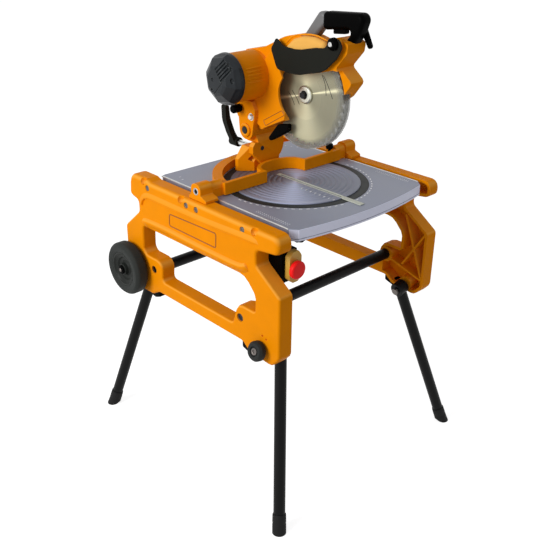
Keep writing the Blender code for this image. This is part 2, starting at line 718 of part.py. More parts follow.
def motor_end_cap():
    """The domed cap over the commutator end, a shell open towards the housing."""
    face = MOTOR_END + GAP
    profile = [
        (0, face + 41), (26, face + 39), (48, face + 31), (60, face + 18), (64, face + 5), (64, face),
        (57.5, face), (57.5, face + 6), (48, face + 24), (0, face + 36),
    ]
    return turned(profile, (0, MOTOR_Y, MOTOR_Z), (-1, 0, 0), 24)


def motor_stator():
    profile = [(36, 52), (56.6, 52), (56.6, 100), (36, 100)]
    return turned(profile, (0, MOTOR_Y, MOTOR_Z), (-1, 0, 0), 24, ring=True)


def motor_armature():
    """Rotor, fan and pulley on the motor shaft, which runs through the arm."""
    profile = [
        (0, -150), (7, -150), (7, -119), (48, -118), (48, -112), (7, -110), (7, -102),
        (35.3, -102), (35.3, -50), (7, -50), (7, 36), (MOTOR_PULLEY, 36), (MOTOR_PULLEY, 54), (0, 54),
    ]
    return turned(profile, (0, MOTOR_Y, MOTOR_Z), (1, 0, 0), 14)


def arbor_spindle():
    """Spindle with the inner blade collar and the driven pulley."""
    profile = [
        (0, -BLADE_HALF), (BLADE_BORE - GAP, -BLADE_HALF), (BLADE_BORE - GAP, 1.6), (22, 1.6), (22, 8.2),
        (11.7, 8.2), (11.7, 36), (ARBOR_PULLEY, 36), (ARBOR_PULLEY, 54), (0, 54),
    ]
    return turned(profile, (0, ARBOR_Y, ARBOR_Z), (1, 0, 0), 18)


def blade_flange():
    """Outer blade collar with its screw head."""
    profile = [(0, 16.5), (9, 16.5), (9, 9), (19, 8), (22, 6.5), (22, 1.7), (0, 1.7)]
    return turned(profile, (0, ARBOR_Y, ARBOR_Z), (-1, 0, 0), 18)


def saw_blade():
    """A toothed disc: each tooth rises slowly and drops steeply into its gullet."""
    outline = []
    pitch = 360 / BLADE_TEETH
    for tooth in range(BLADE_TEETH):
        angle = tooth * pitch
        for radius, share in ((BLADE_RADIUS, 0.0), (BLADE_RADIUS - 8, 0.12), (BLADE_RADIUS - 7, 0.5)):
            outline += arc((ARBOR_Y, ARBOR_Z), radius, angle + share * pitch, angle, 1)[:1]
    disc = prism(outline, "X", -BLADE_HALF, BLADE_HALF)
    return cut(disc, rod((0, ARBOR_Y, ARBOR_Z), (1, 0, 0), BLADE_BORE, -5, 5, 24))


def lower_guard():
    """The clear lower guard: a channel round the blade that hangs on a hub ring."""
    wall = 2.3
    inner = GUARD_HALF - wall
    rim = GUARD_RADIUS - 2.5
    centre = (0, ARBOR_Y, ARBOR_Z)
    profile = [
        (60, GUARD_HALF), (GUARD_RADIUS, GUARD_HALF), (GUARD_RADIUS, -GUARD_HALF), (28, -GUARD_HALF),
        (28, -inner), (rim, -inner), (rim, inner), (60, inner),
    ]
    channel = turned(profile, centre, (-1, 0, 0), 18, True, (0, -1, 0), GUARD_FROM, GUARD_SWEEP)
    hub = [(26, -GUARD_HALF + 0.2), (36, -GUARD_HALF + 0.2), (36, -inner - 0.2), (26, -inner - 0.2)]
    return join(channel, turned(hub, centre, (-1, 0, 0), 24, ring=True))


def guard_shield():
    """The black deflector on the hood's left side."""
    outline = rounded([
        (-27, 1117, 4), (-53, 1101, 20), (-99, 1099, 80), (-155, 1112, 20), (-186, 1115, 14),
        (-200, 1136, 12), (-226, 1142, 12), (-238, 1124, 10), (-225, 1099, 20), (-185, 1062, 40),
        (-101, 1041, 60), (-32, 1044, 14), (-10, 1090, 10),
    ])
    return prism(outline, "X", -PAD_FACE - 6, -PAD_FACE - 0.4)


def handle_bracket():
    """The grey strut that carries the rear of the grip."""
    outline = rounded([
        (-84, 1130.3, 0), (-121, 1127.6, 0), (-150, 1160, 8), (-150, 1180, 6),
        (-138, 1187, 8), (-122, 1178, 8),
    ])
    return prism(outline, "X", -9, 19)


def handle_grip():
    """The black grip above the hood, pocketed for the trigger."""
    outline = rounded([
        (-150.5, 1147, 4), (-150.5, 1188, 6), (-252, 1195, 12), (-267, 1182, 9), (-256, 1152, 10),
        (-243, 1131.6, 0), (-218, 1135.5, 0), (-230, 1150, 8), (-214, 1156, 10),
    ])
    grip = prism(outline, "X", -12, 22)
    grip = cut(grip, box((-2.5, 12.5), (-208.5, -169.5), (1120, 1161)))
    return cut(grip, rod((0, *LEVER_PIVOT), (1, 0, 0), 3 + GAP, 10, 30, 12))


def trigger():
    outline = rounded([(-208, 1144, 3), (-170, 1140, 3), (-170, 1154.5, 0), (-208, 1154.5, 0)])
    return prism(outline, "X", -2, 12)


def guard_lever():
    """The thumb lever that frees the lower guard, on the grip's right side."""
    blade = belt_line(LEVER_PIVOT, 8, (-258, 1122), 6, 8)
    lever = prism(blade, "X", 22.4, 31)
    return join(lever, rod((0, *LEVER_PIVOT), (1, 0, 0), 3, 11, 28, 12))


def dust_chute():
    """The black chute below the arm, on the blade's left side."""
    corners = [(-20, 903, 3), (-58, 911, 4), (-57, 893, 6), (-22, 870, 8), (8, 853, 5), (14, 862, 4)]
    outline = rounded(corners, 45)
    chute = prism(outline, "X", -29, -15)
    return cut(chute, prism([(-47, 925), (-43, 916.7), (39, 877.7), (39, 925)], "X", -40, -10))


def belt_cover():
    """The cover over the belt drive, a shell open towards the arm."""
    motor = (MOTOR_Y, MOTOR_Z)
    arbor = (ARBOR_Y, ARBOR_Z)
    shell = prism(belt_line(motor, COVER_RADIUS, arbor, COVER_RADIUS, 12), "X", ARM_HALF + 0.4, 62)
    hollow = COVER_RADIUS - 3.5
    return cut(shell, prism(belt_line(motor, hollow, arbor, hollow, 12), "X", ARM_HALF - 2, 58.5))


def drive_belt():
    motor = (MOTOR_Y, MOTOR_Z)
    arbor = (ARBOR_Y, ARBOR_Z)
    inner = (MOTOR_PULLEY + GAP, ARBOR_PULLEY + GAP)
    outer = [radius + BELT_THICKNESS for radius in inner]
    band = prism(belt_line(motor, outer[0], arbor, outer[1], 12), "X", 38, 52)
    return cut(band, prism(belt_line(motor, inner[0], arbor, inner[1], 12), "X", 36, 54))


def head_lock_pin():
    profile = [(0, 38.5), (5, 38.5), (5, 56), (11, 57), (11, 80), (9, 83), (0, 83)]
    return turned(profile, (0, 92, 928), (-1, 0, 0), 16)


def spring_line():
    """Points of the return spring's helix, ten a turn."""
    points = []
    for i in range(SPRING_TURNS * 10 + 1):
        angle = math.radians(36 * i)
        y = HINGE_Y + SPRING_RADIUS * math.cos(angle)
        z = HINGE_Z + SPRING_RADIUS * math.sin(angle)
        points.append(Vector((SPRING_START + SPRING_PITCH * i / 10, y, z)))
    return points


def return_spring(material, pivot):
    """The coil spring that lifts the head, one unbroken wire."""
    points = spring_line()
    apart = [(p - q).length for i, p in enumerate(points) for q in points[i + 6:]]
    print("return spring: least gap between turns %.2f mm" % (min(apart) - 2 * SPRING_WIRE))
    curve = bpy.data.curves.new("return_spring", "CURVE")
    curve.dimensions = "3D"
    curve.bevel_depth = SPRING_WIRE * MM
    curve.bevel_resolution = 1
    curve.use_fill_caps = True
    spline = curve.splines.new("POLY")
    spline.points.add(len(points) - 1)
    for knot, place in zip(spline.points, points):
        knot.co = (*(place * MM), 1.0)
    curve.materials.append(material)
    spring = bpy.data.objects.new("return_spring", curve)
    bpy.context.scene.collection.objects.link(spring)
    spring.parent = pivot
    spring.matrix_parent_inverse = pivot.matrix_world.inverted()


def switch_housing():
    """The switch box behind its front plate, with the cable inlet below."""
    case = box((-251.5, -202), (-272, -182), (624, 702))
    case = join(case, rod((-226, -240, 0), (0, 0, 1), 9, 606, 630, 12))
    return cut(case, rod(BUTTON_CENTRE, (0, -1, 0), BUTTON_STEM + GAP, 255, 300, 16))


def switch_faceplate():
    outline = rounded([
        (-241, 638, 4), (-230, 626, 4), (-213, 626, 6), (-203, 640, 6), (-203, 690, 6), (-213, 704, 6),
        (-230, 704, 4), (-241, 692, 4),
    ])
    plate = prism(outline, "Y", -PLATE_FACE, -272.3)
    return cut(plate, rod(BUTTON_CENTRE, (0, -1, 0), BUTTON_STEM + GAP, 240, 300, 16))


def stop_button():
    below = PLATE_FACE + BUTTON_TRAVEL + GAP
    profile = [
        (0, 266), (BUTTON_STEM, 266), (BUTTON_STEM, below), (20, below), (22, below + 2), (22, below + 9),
        (19, below + 12), (0, below + 13),
    ]
    return turned(profile, BUTTON_CENTRE, (0, -1, 0), 20)


def build():
    for thing in list(bpy.data.objects):
        bpy.data.objects.remove(thing)

    yellow = finish("cast_yellow", (0.85, 0.42, 0.01), 0.45)
    grey = finish("table_grey", (0.42, 0.44, 0.52), 0.4, 0.6)
    black = finish("black_plastic", (0.015, 0.015, 0.016), 0.5)
    tube_black = finish("black_paint", (0.012, 0.012, 0.012), 0.4)
    rubber = finish("rubber", (0.02, 0.02, 0.021), 0.8)
    dark = finish("motor_grey", (0.06, 0.065, 0.07), 0.5)
    steel = finish("steel", (0.6, 0.6, 0.6), 0.3, 1.0)
    cream = finish("kerf_cream", (0.75, 0.73, 0.6), 0.5)
    red = finish("button_red", (0.7, 0.02, 0.02), 0.4)
    pale = finish("switch_pale", (0.75, 0.5, 0.12), 0.5)
    clear = finish("clear_guard", (0.8, 0.8, 0.78), 0.1, 0.0, 0.3)
    strut_grey = finish("handle_grey", (0.2, 0.2, 0.21), 0.4)
    copper = finish("motor_core", (0.25, 0.2, 0.17), 0.5, 0.6)

    names = {LEFT: "left", RIGHT: "right"}
    for side, word in names.items():
        piece(f"{word}_side_frame", side_frame(side), yellow)
    for front, word in ((True, "front"), (False, "rear")):
        y = -TUBE_Y if front else TUBE_Y
        tube = rod((0, y, TUBE_Z), (1, 0, 0), TUBE_RADIUS, -TUBE_END, TUBE_END, 20)
        piece(f"{word}_cross_tube", tube, tube_black)
    for side, word in names.items():
        piece(f"pivot_lug_{word}", pivot_lug(side), yellow)
        piece(f"leg_bolt_{word}", leg_bolt(side), steel)
        piece(f"wheel_axle_{word}", wheel_axle(side), steel)
    piece("switch_housing", switch_housing(), black)
    piece("switch_faceplate", switch_faceplate(), pale)
    button_axis = empty("stop_button_axis", BUTTON_CENTRE[0], -PLATE_FACE, BUTTON_CENTRE[2])
    piece("stop_button", stop_button(), red, button_axis)

    for side, front in [(side, front) for side in names for front in (True, False)]:
        word = f"{'front' if front else 'rear'}_{names[side]}"
        pivot = leg_lines(side, front)[0]
        leg_axis = empty(f"leg_axis_{word}", *pivot)
        piece(f"leg_tube_{word}", leg_tube(side, front), tube_black, leg_axis)
        piece(f"leg_foot_{word}", leg_foot(side, front), rubber, leg_axis)
    for side, word in names.items():
        knob_axis = empty(f"leg_knob_axis_{word}", *leg_lines(side, True)[0])
        piece(f"leg_knob_{word}", leg_knob(side), black, knob_axis)
        wheel_axis = empty(f"wheel_axis_{word}", side * WHEEL_X, WHEEL_Y, WHEEL_Z)
        piece(f"tyre_{word}", tyre(side), rubber, wheel_axis)
        piece(f"wheel_hub_{word}", wheel_hub(side), dark, wheel_axis)

    flip_axis = empty("flip_axis", 0, 0, FLIP_Z)
    piece("table_top", table_top(), grey, flip_axis)
    piece("bench_plate", bench_plate(), grey, flip_axis)
    piece("turntable_ring", turntable_ring(), black, flip_axis)
    piece("fence", fence(), yellow, flip_axis)
    for side, word in names.items():
        shaft = rod((0, 0, FLIP_Z), (side, 0, 0), SHAFT_RADIUS, 216.5, LUG_X[1] - 2, 20)
        piece(f"flip_shaft_{word}", shaft, steel, flip_axis)
    latch_axis = empty("table_latch_axis", *LATCH_PLACE, 726, flip_axis)
    piece("table_latch", table_latch(), black, latch_axis)
    fence_knob_axis = empty("fence_knob_axis", *FENCE_KNOB_PLACE, 798, flip_axis)
    piece("fence_knob", fence_knob(), black, fence_knob_axis)

    mitre_axis = empty("mitre_axis", 0, TURN_Y, TURN_TOP, flip_axis)
    piece("turntable", turntable(), grey, mitre_axis)
    piece("kerf_insert", kerf_insert(), cream, mitre_axis)
    piece("bevel_trunnion", bevel_trunnion(), yellow, mitre_axis)

    bevel_axis = empty("bevel_axis", 0, TRUNNION_Y[0], BEVEL_Z, mitre_axis)
    piece("tilt_bracket", tilt_bracket(), yellow, bevel_axis)
    piece("hinge_pin", hinge_pin(), steel, bevel_axis)
    lever_axis = empty("bevel_lever_axis", 0, TRUNNION_Y[1], BEVEL_Z + CLAMP_RADIUS, bevel_axis)
    piece("bevel_lever", bevel_lever(), black, lever_axis)

    head_axis = empty("head_axis", 0, HINGE_Y, HINGE_Z, bevel_axis)
    piece("saw_arm", saw_arm(), yellow, head_axis)
    piece("motor_housing", motor_housing(), yellow, head_axis)
    piece("motor_end_cap", motor_end_cap(), dark, head_axis)
    piece("motor_stator", motor_stator(), copper, head_axis)
    piece("belt_cover", belt_cover(), yellow, head_axis)
    piece("drive_belt", drive_belt(), rubber, head_axis)
    piece("guard_shield", guard_shield(), black, head_axis)
    piece("handle_bracket", handle_bracket(), strut_grey, head_axis)
    piece("handle_grip", handle_grip(), black, head_axis)
    piece("dust_chute", dust_chute(), black, head_axis)
    return_spring(steel, head_axis)
    trigger_axis = empty("trigger_axis", 5, -189, 1150, head_axis)
    piece("trigger", trigger(), black, trigger_axis)
    guard_lever_axis = empty("guard_lever_axis", 26, *LEVER_PIVOT, head_axis)
    piece("guard_lever", guard_lever(), black, guard_lever_axis)
    pin_axis = empty("head_lock_axis", -60, 92, 928, head_axis)
    piece("head_lock_pin", head_lock_pin(), black, pin_axis)

    motor_axis = empty("motor_axis", 0, MOTOR_Y, MOTOR_Z, head_axis)
    piece("motor_armature", motor_armature(), steel, motor_axis)
    arbor_axis = empty("arbor_axis", 0, ARBOR_Y, ARBOR_Z, head_axis)
    piece("saw_blade", saw_blade(), steel, arbor_axis)
    piece("arbor_spindle", arbor_spindle(), steel, arbor_axis)
    piece("blade_flange", blade_flange(), steel, arbor_axis)
    guard_axis = empty("lower_guard_axis", 0, ARBOR_Y, ARBOR_Z, head_axis)
    piece("lower_guard", lower_guard(), clear, guard_axis)


build()
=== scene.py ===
"""Looks of the flip-over mitre and bench saw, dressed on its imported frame.

Sizes are millimetres in the frame's axes: +X right, -Y towards the operator, +Z up. A
shape is a pair (points, faces): its points are worked out as whole arrays, and the
formula stands in each function's docstring.
"""

import json
import math
from contextlib import contextmanager

import bmesh
import bpy
import numpy as np
from mathutils import Matrix, Vector

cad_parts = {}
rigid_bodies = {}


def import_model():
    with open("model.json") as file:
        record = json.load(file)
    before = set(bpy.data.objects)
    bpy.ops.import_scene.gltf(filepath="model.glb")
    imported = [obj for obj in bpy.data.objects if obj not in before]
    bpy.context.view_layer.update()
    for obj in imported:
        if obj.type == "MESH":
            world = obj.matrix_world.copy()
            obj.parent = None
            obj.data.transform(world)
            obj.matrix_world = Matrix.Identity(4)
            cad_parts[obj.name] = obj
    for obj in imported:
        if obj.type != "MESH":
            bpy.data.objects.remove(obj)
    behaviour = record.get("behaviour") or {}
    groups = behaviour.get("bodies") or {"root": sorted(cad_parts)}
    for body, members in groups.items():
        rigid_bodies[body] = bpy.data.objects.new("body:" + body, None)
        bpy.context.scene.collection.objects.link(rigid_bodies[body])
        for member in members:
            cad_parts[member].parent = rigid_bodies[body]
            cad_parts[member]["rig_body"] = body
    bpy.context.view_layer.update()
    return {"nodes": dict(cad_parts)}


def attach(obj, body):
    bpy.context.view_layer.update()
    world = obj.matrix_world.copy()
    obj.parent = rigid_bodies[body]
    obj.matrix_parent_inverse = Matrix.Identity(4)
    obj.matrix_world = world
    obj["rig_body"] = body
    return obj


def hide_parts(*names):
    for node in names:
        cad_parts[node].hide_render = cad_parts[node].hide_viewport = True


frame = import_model()

MM = 0.001
SIDES = (("left", -1), ("right", 1))
ALONG_X = np.array([1.0, 0.0, 0.0])
ALONG_Y = np.array([0.0, 1.0, 0.0])
UP = np.array([0.0, 0.0, 1.0])

# Places that the solids use too
FRAME_OUTER = 293.0
TUBE_Y = 175.0
TUBE_Z = 512.0
TUBE_PLACES = [(-TUBE_Y, TUBE_Z), (TUBE_Y, TUBE_Z)]
LEG_PIVOTS = {"front": (229.5, -252.0, 440.0), "rear": (224.5, 259.5, 481.0)}
FOOT = (339.0, 370.0)
LEG_RADIUS = 15.0
WHEEL = (318.0, 264.0, 495.0)
FLIP_Z = 780.0
TURN_Y = -60.0
TURN_RADIUS = 168.0
TURN_TOP = 760.0
MARK_BASE = 757.3
MARK_TOP = 757.75
DISC_SEAT = 751.3
SKY = 0.41
KERF_HALF = 8.0
LEG_STOPS = [
    [(168, 446, 3), (168, 428, 6), (190, 419, 6), (214, 422, 4), (214, 446, 3)],
    [(-172, 446, 3), (-172, 426, 5), (-206, 416, 5), (-214, 440, 3)],
]
HINGE = (0.0, 74.0, 873.0)
ARBOR = (0.0, -90.0, 987.0)
MOTOR = (0.0, 61.0, 1016.0)
BUTTON = (-226.0, 0.0, 662.0)
CLAMP_Z = 810.0


# Shapes

def unit(vector):
    """A vector divided by its length."""
    vector = np.asarray(vector, float)
    return vector / np.linalg.norm(vector)


def square_to(axis):
    """Two unit vectors square to an axis and to each other."""
    axis = unit(axis)
    first = unit(np.cross(axis, ALONG_X if abs(axis[0]) < 0.8 else ALONG_Y))
    return first, np.cross(axis, first)


def grid_faces(rows, columns, wrap_rows=False, wrap_columns=False):
    """Quads of a grid of points numbered row by row; a wrapped direction closes on itself."""
    i = np.arange(rows if wrap_rows else rows - 1)[:, None]
    j = np.arange(columns if wrap_columns else columns - 1)[None, :]
    i_next = (i + 1) % rows
    j_next = (j + 1) % columns
    corners = (i * columns + j, i * columns + j_next, i_next * columns + j_next, i_next * columns + j)
    return np.stack(np.broadcast_arrays(*corners), -1).reshape(-1, 4).tolist()


def together(*shapes):
    """Several shapes as one: points stacked, face numbers shifted."""
    shifts = np.cumsum([0] + [len(points) for points, _ in shapes])
    faces = []
    for (_, part), shift in zip(shapes, shifts.tolist()):
        faces += [[corner + shift for corner in face] for face in part]
    return np.concatenate([points for points, _ in shapes]), faces


def round_points(centre, radius, start, end, count):
    """Plane points centre + radius (cos a, sin a), a evenly from start to end in degrees."""
    angle = np.radians(np.linspace(start, end, count))
    return np.asarray(centre, float) + radius * np.stack([np.cos(angle), np.sin(angle)], -1)


def eased(corners, closed=True, step=12):
    """A line through (a, b, radius) corners, each replaced by the arc that touches both its sides.

    The arc's centre lies radius / sin(half angle) along the bisector of the corner.
    """
    corners = [np.asarray(corner, float) for corner in corners]
    line = []
    for k, corner in enumerate(corners):
        here = corner[:2]
        radius = corner[2] if len(corner) > 2 else 0
        if radius == 0 or (not closed and k in (0, len(corners) - 1)):
            line.append(here[None])
            continue
        back = unit(corners[k - 1][:2] - here)
        ahead = unit(corners[(k + 1) % len(corners)][:2] - here)
        half = math.acos(np.clip(back @ ahead, -1, 1)) / 2
        centre = here + unit(back + ahead) * radius / math.sin(half)
        first = here + back * radius / math.tan(half) - centre
        last = here + ahead * radius / math.tan(half) - centre
        start = math.degrees(math.atan2(first[1], first[0]))
        turn = (math.degrees(math.atan2(last[1], last[0])) - start + 180) % 360 - 180
        line.append(round_points(centre, radius, start, start + turn, max(2, round(abs(turn) / step) + 1)))
    return np.concatenate(line)


def drawn_in(outline, distance):
    """A closed outline moved inwards: each point goes along its mitre by distance / cos(half turn)."""
    into = outline - np.roll(outline, 1, 0)
    into /= np.linalg.norm(into, axis=1)[:, None]
    square = np.stack([-into[:, 1], into[:, 0]], -1)
    mitre = square + np.roll(square, -1, 0)
    mitre /= np.linalg.norm(mitre, axis=1)[:, None]
    following = np.roll(outline, -1, 0)
    area = np.sum(outline[:, 0] * following[:, 1] - outline[:, 1] * following[:, 0])
    return outline + mitre * (math.copysign(distance, area) / np.sum(mitre * square, 1))[:, None]


def raised(flat, axis, height):
    """Plane points (a, b) put at a height along X, Y or Z."""
    high = np.broadcast_to(np.asarray(height, float), flat.shape[:-1])
    order = {"X": (high, flat[..., 0], flat[..., 1]), "Y": (flat[..., 0], high, flat[..., 1]),
             "Z": (flat[..., 0], flat[..., 1], high)}[axis]
    return np.stack(order, -1)


def lofted(rings, wrap=False):
    """Rings of points (n, m, 3) joined each to the next, with flat ends unless they wrap."""
    rings = np.asarray(rings, float)
    count, size = rings.shape[:2]
    faces = grid_faces(count, size, wrap, True)
    if not wrap:
        faces += [list(range(size))[::-1], list(range((count - 1) * size, count * size))]
    return rings.reshape(-1, 3), faces


def plate(outline, axis, low, high, edge=1.5, steps=4, soft_low=True):
    """A plate with quarter-round rims: rim point t is edge (1 - sin t) in from the outline and
    edge (1 - cos t) in from the face."""
    turn = np.linspace(0, math.pi / 2, steps + 1)
    inward = edge * (1 - np.sin(turn))
    rise = edge * (1 - np.cos(turn))
    levels = [(d, high - h) for d, h in zip(inward[::-1], rise[::-1])]
    levels = ([(d, low + h) for d, h in zip(inward, rise)] if soft_low else [(0, low)]) + levels
    return lofted([raised(drawn_in(outline, d) if d else outline, axis, h) for d, h in levels])


def turned(profile, centre, axis, steps=48, ring=False):
    """Point (i, k) = centre + h_k axis + r_k (cos a_i u + sin a_i v), a_i evenly round the circle."""
    profile = np.asarray(profile, float)
    axis = unit(axis)
    u, v = square_to(axis)
    angle = np.linspace(0, 2 * math.pi, steps, endpoint=False)[:, None]
    spoke = np.cos(angle) * u + np.sin(angle) * v
    points = np.asarray(centre, float) + profile[None, :, 1, None] * axis
    points = points + profile[None, :, 0, None] * spoke[:, None, :]
    return points.reshape(-1, 3), grid_faces(steps, len(profile), True, ring)


def bar(path, section, up=UP, wrap=False, swell=1.0):
    """A section (a, b) carried along a path: point = path + s (a n + b (t x n)), n square to the path
    and s its size there."""
    path = np.asarray(path, float)
    if wrap:
        tangent = np.roll(path, -1, 0) - np.roll(path, 1, 0)
    else:
        tangent = np.gradient(path, axis=0)
    tangent /= np.linalg.norm(tangent, axis=1)[:, None]
    normal = np.asarray(up, float) - (tangent @ np.asarray(up, float))[:, None] * tangent
    normal /= np.linalg.norm(normal, axis=1)[:, None]
    side = np.cross(tangent, normal)
    section = np.asarray(section, float) * np.broadcast_to(swell, len(path))[:, None, None]
    return lofted(path[:, None] + section[..., :1] * normal[:, None] + section[..., 1:] * side[:, None], wrap)


def rod_profile(radius, low, high):
    """Half the section of a plain rod, as (radius, height) from axis to axis."""
    return [(0, low), (radius, low), (radius, high), (0, high)]


def disc_section(radius, sides=12):
    """Points evenly round a circle, for a bar of round section."""
    return round_points((0, 0), radius, 0, 360, sides + 1)[:-1]


def hexagon(centre, axis, across, low, high, chamfer=0.8):
    """A six-sided head: rings of six corners, the last drawn in by a chamfer."""
    u, v = square_to(axis)
    angle = np.radians(np.arange(6) * 60)[:, None]
    spoke = np.cos(angle) * u + np.sin(angle) * v
    reach = across / math.sqrt(3)
    levels = ((reach, low), (reach, high - chamfer), (reach - chamfer, high))
    return lofted([np.asarray(centre) + h * unit(axis) + r * spoke for r, h in levels])


def socket_screw(centre, axis, radius, low, high):
    """A cap screw: a rounded head with a round socket sunk in its top."""
    profile = [(0, low), (radius, low), (radius, high - 0.8), (radius - 0.8, high), (radius * 0.58, high),
               (radius * 0.5, high - 0.5), (radius * 0.5, high - 0.45 * (high - low)), (0, high - 0.5 * (high - low))]
    return turned(profile, centre, axis, 24)


BLOCK_FACES = np.array([(4, 5, 6, 7), (0, 1, 5, 4), (1, 2, 6, 5), (2, 3, 7, 6), (3, 0, 4, 7), (3, 2, 1, 0)])


def tiles(centres, along, length, width, low, high):
    """Thin upright-sided marks: eight corners centre +- length/2 along +- width/2 across, all at once."""
    centres = np.asarray(centres, float)
    along = np.asarray(along, float)
    across = np.stack([-along[:, 1], along[:, 0]], -1)
    length = np.broadcast_to(length, len(centres))[:, None]
    a = along * length / 2
    b = across * width / 2
    flat = np.stack([centres - a - b, centres + a - b, centres + a + b, centres - a + b], 1)
    points = np.concatenate([raised(flat, "Z", low), raised(flat, "Z", high)], 1)
    faces = BLOCK_FACES[None] + 8 * np.arange(len(centres))[:, None, None]
    return points.reshape(-1, 3), faces.reshape(-1, 4).tolist()


def mirrored(shape, side):
    """A shape of the right-hand side put on either side by x -> side x."""
    points, faces = shape
    return points * np.array([side, 1, 1]), faces


# Pieces

@contextmanager
def opened(mesh):
    """A mesh open for editing, written back at the end."""
    solid = bmesh.new()
    solid.from_mesh(mesh)
    yield solid
    solid.to_mesh(mesh)
    solid.free()


def meshed(name, shape):
    """A mesh from a shape: doubles merged, faces turned outwards."""
    points, faces = shape
    mesh = bpy.data.meshes.new(name)
    mesh.from_pydata((np.asarray(points) * MM).tolist(), [], faces)
    with opened(mesh) as solid:
        bmesh.ops.remove_doubles(solid, verts=solid.verts[:], dist=1e-6)
        bmesh.ops.dissolve_degenerate(solid, edges=solid.edges[:], dist=1e-7)
        bmesh.ops.recalc_face_normals(solid, faces=solid.faces[:])
    return mesh


def dress(name, shape, finish, body, slot, *nodes, crease=38):
    """A piece from a shape, smooth up to the crease angle."""
    return placed(name, meshed(name, shape), finish, body, nodes, crease)


def placed(name, mesh, finish, body, nodes, crease):
    """A piece from a mesh: its finish, the body it rides on and the nodes it stands for."""
    mesh.materials.clear()
    mesh.materials.append(finish)
    mesh.shade_smooth()
    mesh.set_sharp_from_angle(angle=math.radians(crease))
    piece = bpy.data.objects.new(name, mesh)
    bpy.context.scene.collection.objects.link(piece)
    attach(piece, body)
    if nodes:
        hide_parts(*nodes)
    return piece


def evaluated(piece):
    """The mesh that a piece's modifiers give."""
    return bpy.data.meshes.new_from_object(piece.evaluated_get(bpy.context.evaluated_depsgraph_get()))


def cut_into(mesh, shape):
    """A mesh less a shape."""
    whole = bpy.data.objects.new("whole", mesh)
    tool = bpy.data.objects.new("tool", meshed("tool", shape))
    for item in (whole, tool):
        bpy.context.scene.collection.objects.link(item)
    step = whole.modifiers.new("cut", "BOOLEAN")
    step.object = tool
    step.solver = "EXACT"
    result = evaluated(whole)
    for item in (whole, tool):
        bpy.data.objects.remove(item)
    return result


def boundary_loops(solid):
    """The open rims of a mesh, each as its points in order."""
    edges = [edge for edge in solid.edges if edge.is_boundary]
    while edges:
        loop = list(edges.pop(0).verts)
        while following := [edge for edge in loop[-1].link_edges if edge in edges]:
            edges.remove(following[0])
            loop.append(following[0].other_vert(loop[-1]))
        yield loop[:-1]


def close_over(solid, inside):
    """Faces whose points are all inside a cut go, and flat faces close its place. A cut through a
    rim is closed by two faces that meet along the rim, between its two outermost upper points."""
    gone = [face for face in solid.faces if all(inside(vert) for vert in face.verts)]
    bmesh.ops.delete(solid, geom=gone, context="FACES")
    for loop in list(boundary_loops(solid)):
        far = max(abs(vert.co.x) for vert in loop) - 0.1 * MM
        high = max(vert.co.z for vert in loop) - 3 * MM
        corners = [k for k, vert in enumerate(loop) if abs(vert.co.x) > far and vert.co.z > high]
        corners.sort(key=lambda k: loop[k].co.y)
        if min(abs(vert.co.x) for vert in loop) > far:
            solid.faces.new(loop)
        else:
            first, last = sorted((corners[0], corners[-1]))
            solid.faces.new(loop[first:last + 1])
            solid.faces.new(loop[last:] + loop[:first + 1])
    bmesh.ops.recalc_face_normals(solid, faces=solid.faces[:])


def thin_rims(solid, spacing):
    """Edges on a frame's outer face that are shorter than a spacing close up to a point."""
    far = (FRAME_OUTER - 0.05) * MM
    short = [edge for edge in solid.edges
             if edge.calc_length() < spacing * MM and min(abs(vert.co.x) for vert in edge.verts) > far]
    bmesh.ops.collapse(solid, edges=short)
    bmesh.ops.dissolve_degenerate(solid, edges=solid.edges[:], dist=1e-7)


def flat_shaded(piece):
    """Large flat faces keep their own normals, and the roundings beside them lead into them."""
    piece.data.shade_smooth()
    piece.data.set_sharp_from_angle(angle=math.radians(32))
    step = piece.modifiers.new("flat_faces", "WEIGHTED_NORMAL")
    step.keep_sharp = True
    step.weight = 100


def flattened(solid):
    """Faces in one plane become one face."""
    bmesh.ops.dissolve_limit(solid, angle_limit=math.radians(0.8), verts=solid.verts[:], edges=solid.edges[:])


def cast(node, finish, width, segments=3, angle=35, chosen=None, closed_over=None, sunk=None):
    """A solid's own surface with its edges rounded: doubles merged, flat faces made whole, edges
    bevelled by width, all of them past an angle or only those that chosen(edge) gives a share.
    Small cuts can be closed over first and shapes sunk into the rounded surface after."""
    mesh = frame["nodes"][node].data.copy()
    mesh.name = f"{node}_cast"
    for layer in ("custom_normal", "sharp_edge", "sharp_face"):
        if layer in mesh.attributes:
            mesh.attributes.remove(mesh.attributes[layer])
    with opened(mesh) as solid:
        bmesh.ops.remove_doubles(solid, verts=solid.verts[:], dist=5e-6)
        flattened(solid)
        if closed_over:
            close_over(solid, closed_over)
            thin_rims(solid, 1.5)
            flattened(solid)
        if chosen:
            weight = solid.edges.layers.float.new("bevel_weight_edge")
            for edge in solid.edges:
                edge[weight] = chosen(edge)
    body = frame["nodes"][node]["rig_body"]
    piece = placed(f"{node}_cast", mesh, finish, body, (node,), 180)
    rounding = piece.modifiers.new("rounding", "BEVEL")
    rounding.width = width * MM
    rounding.segments = segments
    rounding.limit_method = "WEIGHT" if chosen else "ANGLE"
    rounding.angle_limit = math.radians(angle)
    rounding.use_clamp_overlap = not chosen
    rounding.harden_normals = True
    rounding.miter_outer = "MITER_ARC"
    rounding.loop_slide = False
    if sunk:
        rounding.harden_normals = False
        mesh = evaluated(piece)
        with opened(mesh) as solid:
            thin_rims(solid, 2.6)
        piece.data = cut_into(mesh, sunk)
        with opened(piece.data) as solid:
            bmesh.ops.remove_doubles(solid, verts=solid.verts[:], dist=2e-5)
            bmesh.ops.holes_fill(solid, edges=[edge for edge in solid.edges if edge.is_boundary])
        piece.modifiers.clear()
        flat_shaded(piece)
    return piece


# Finishes

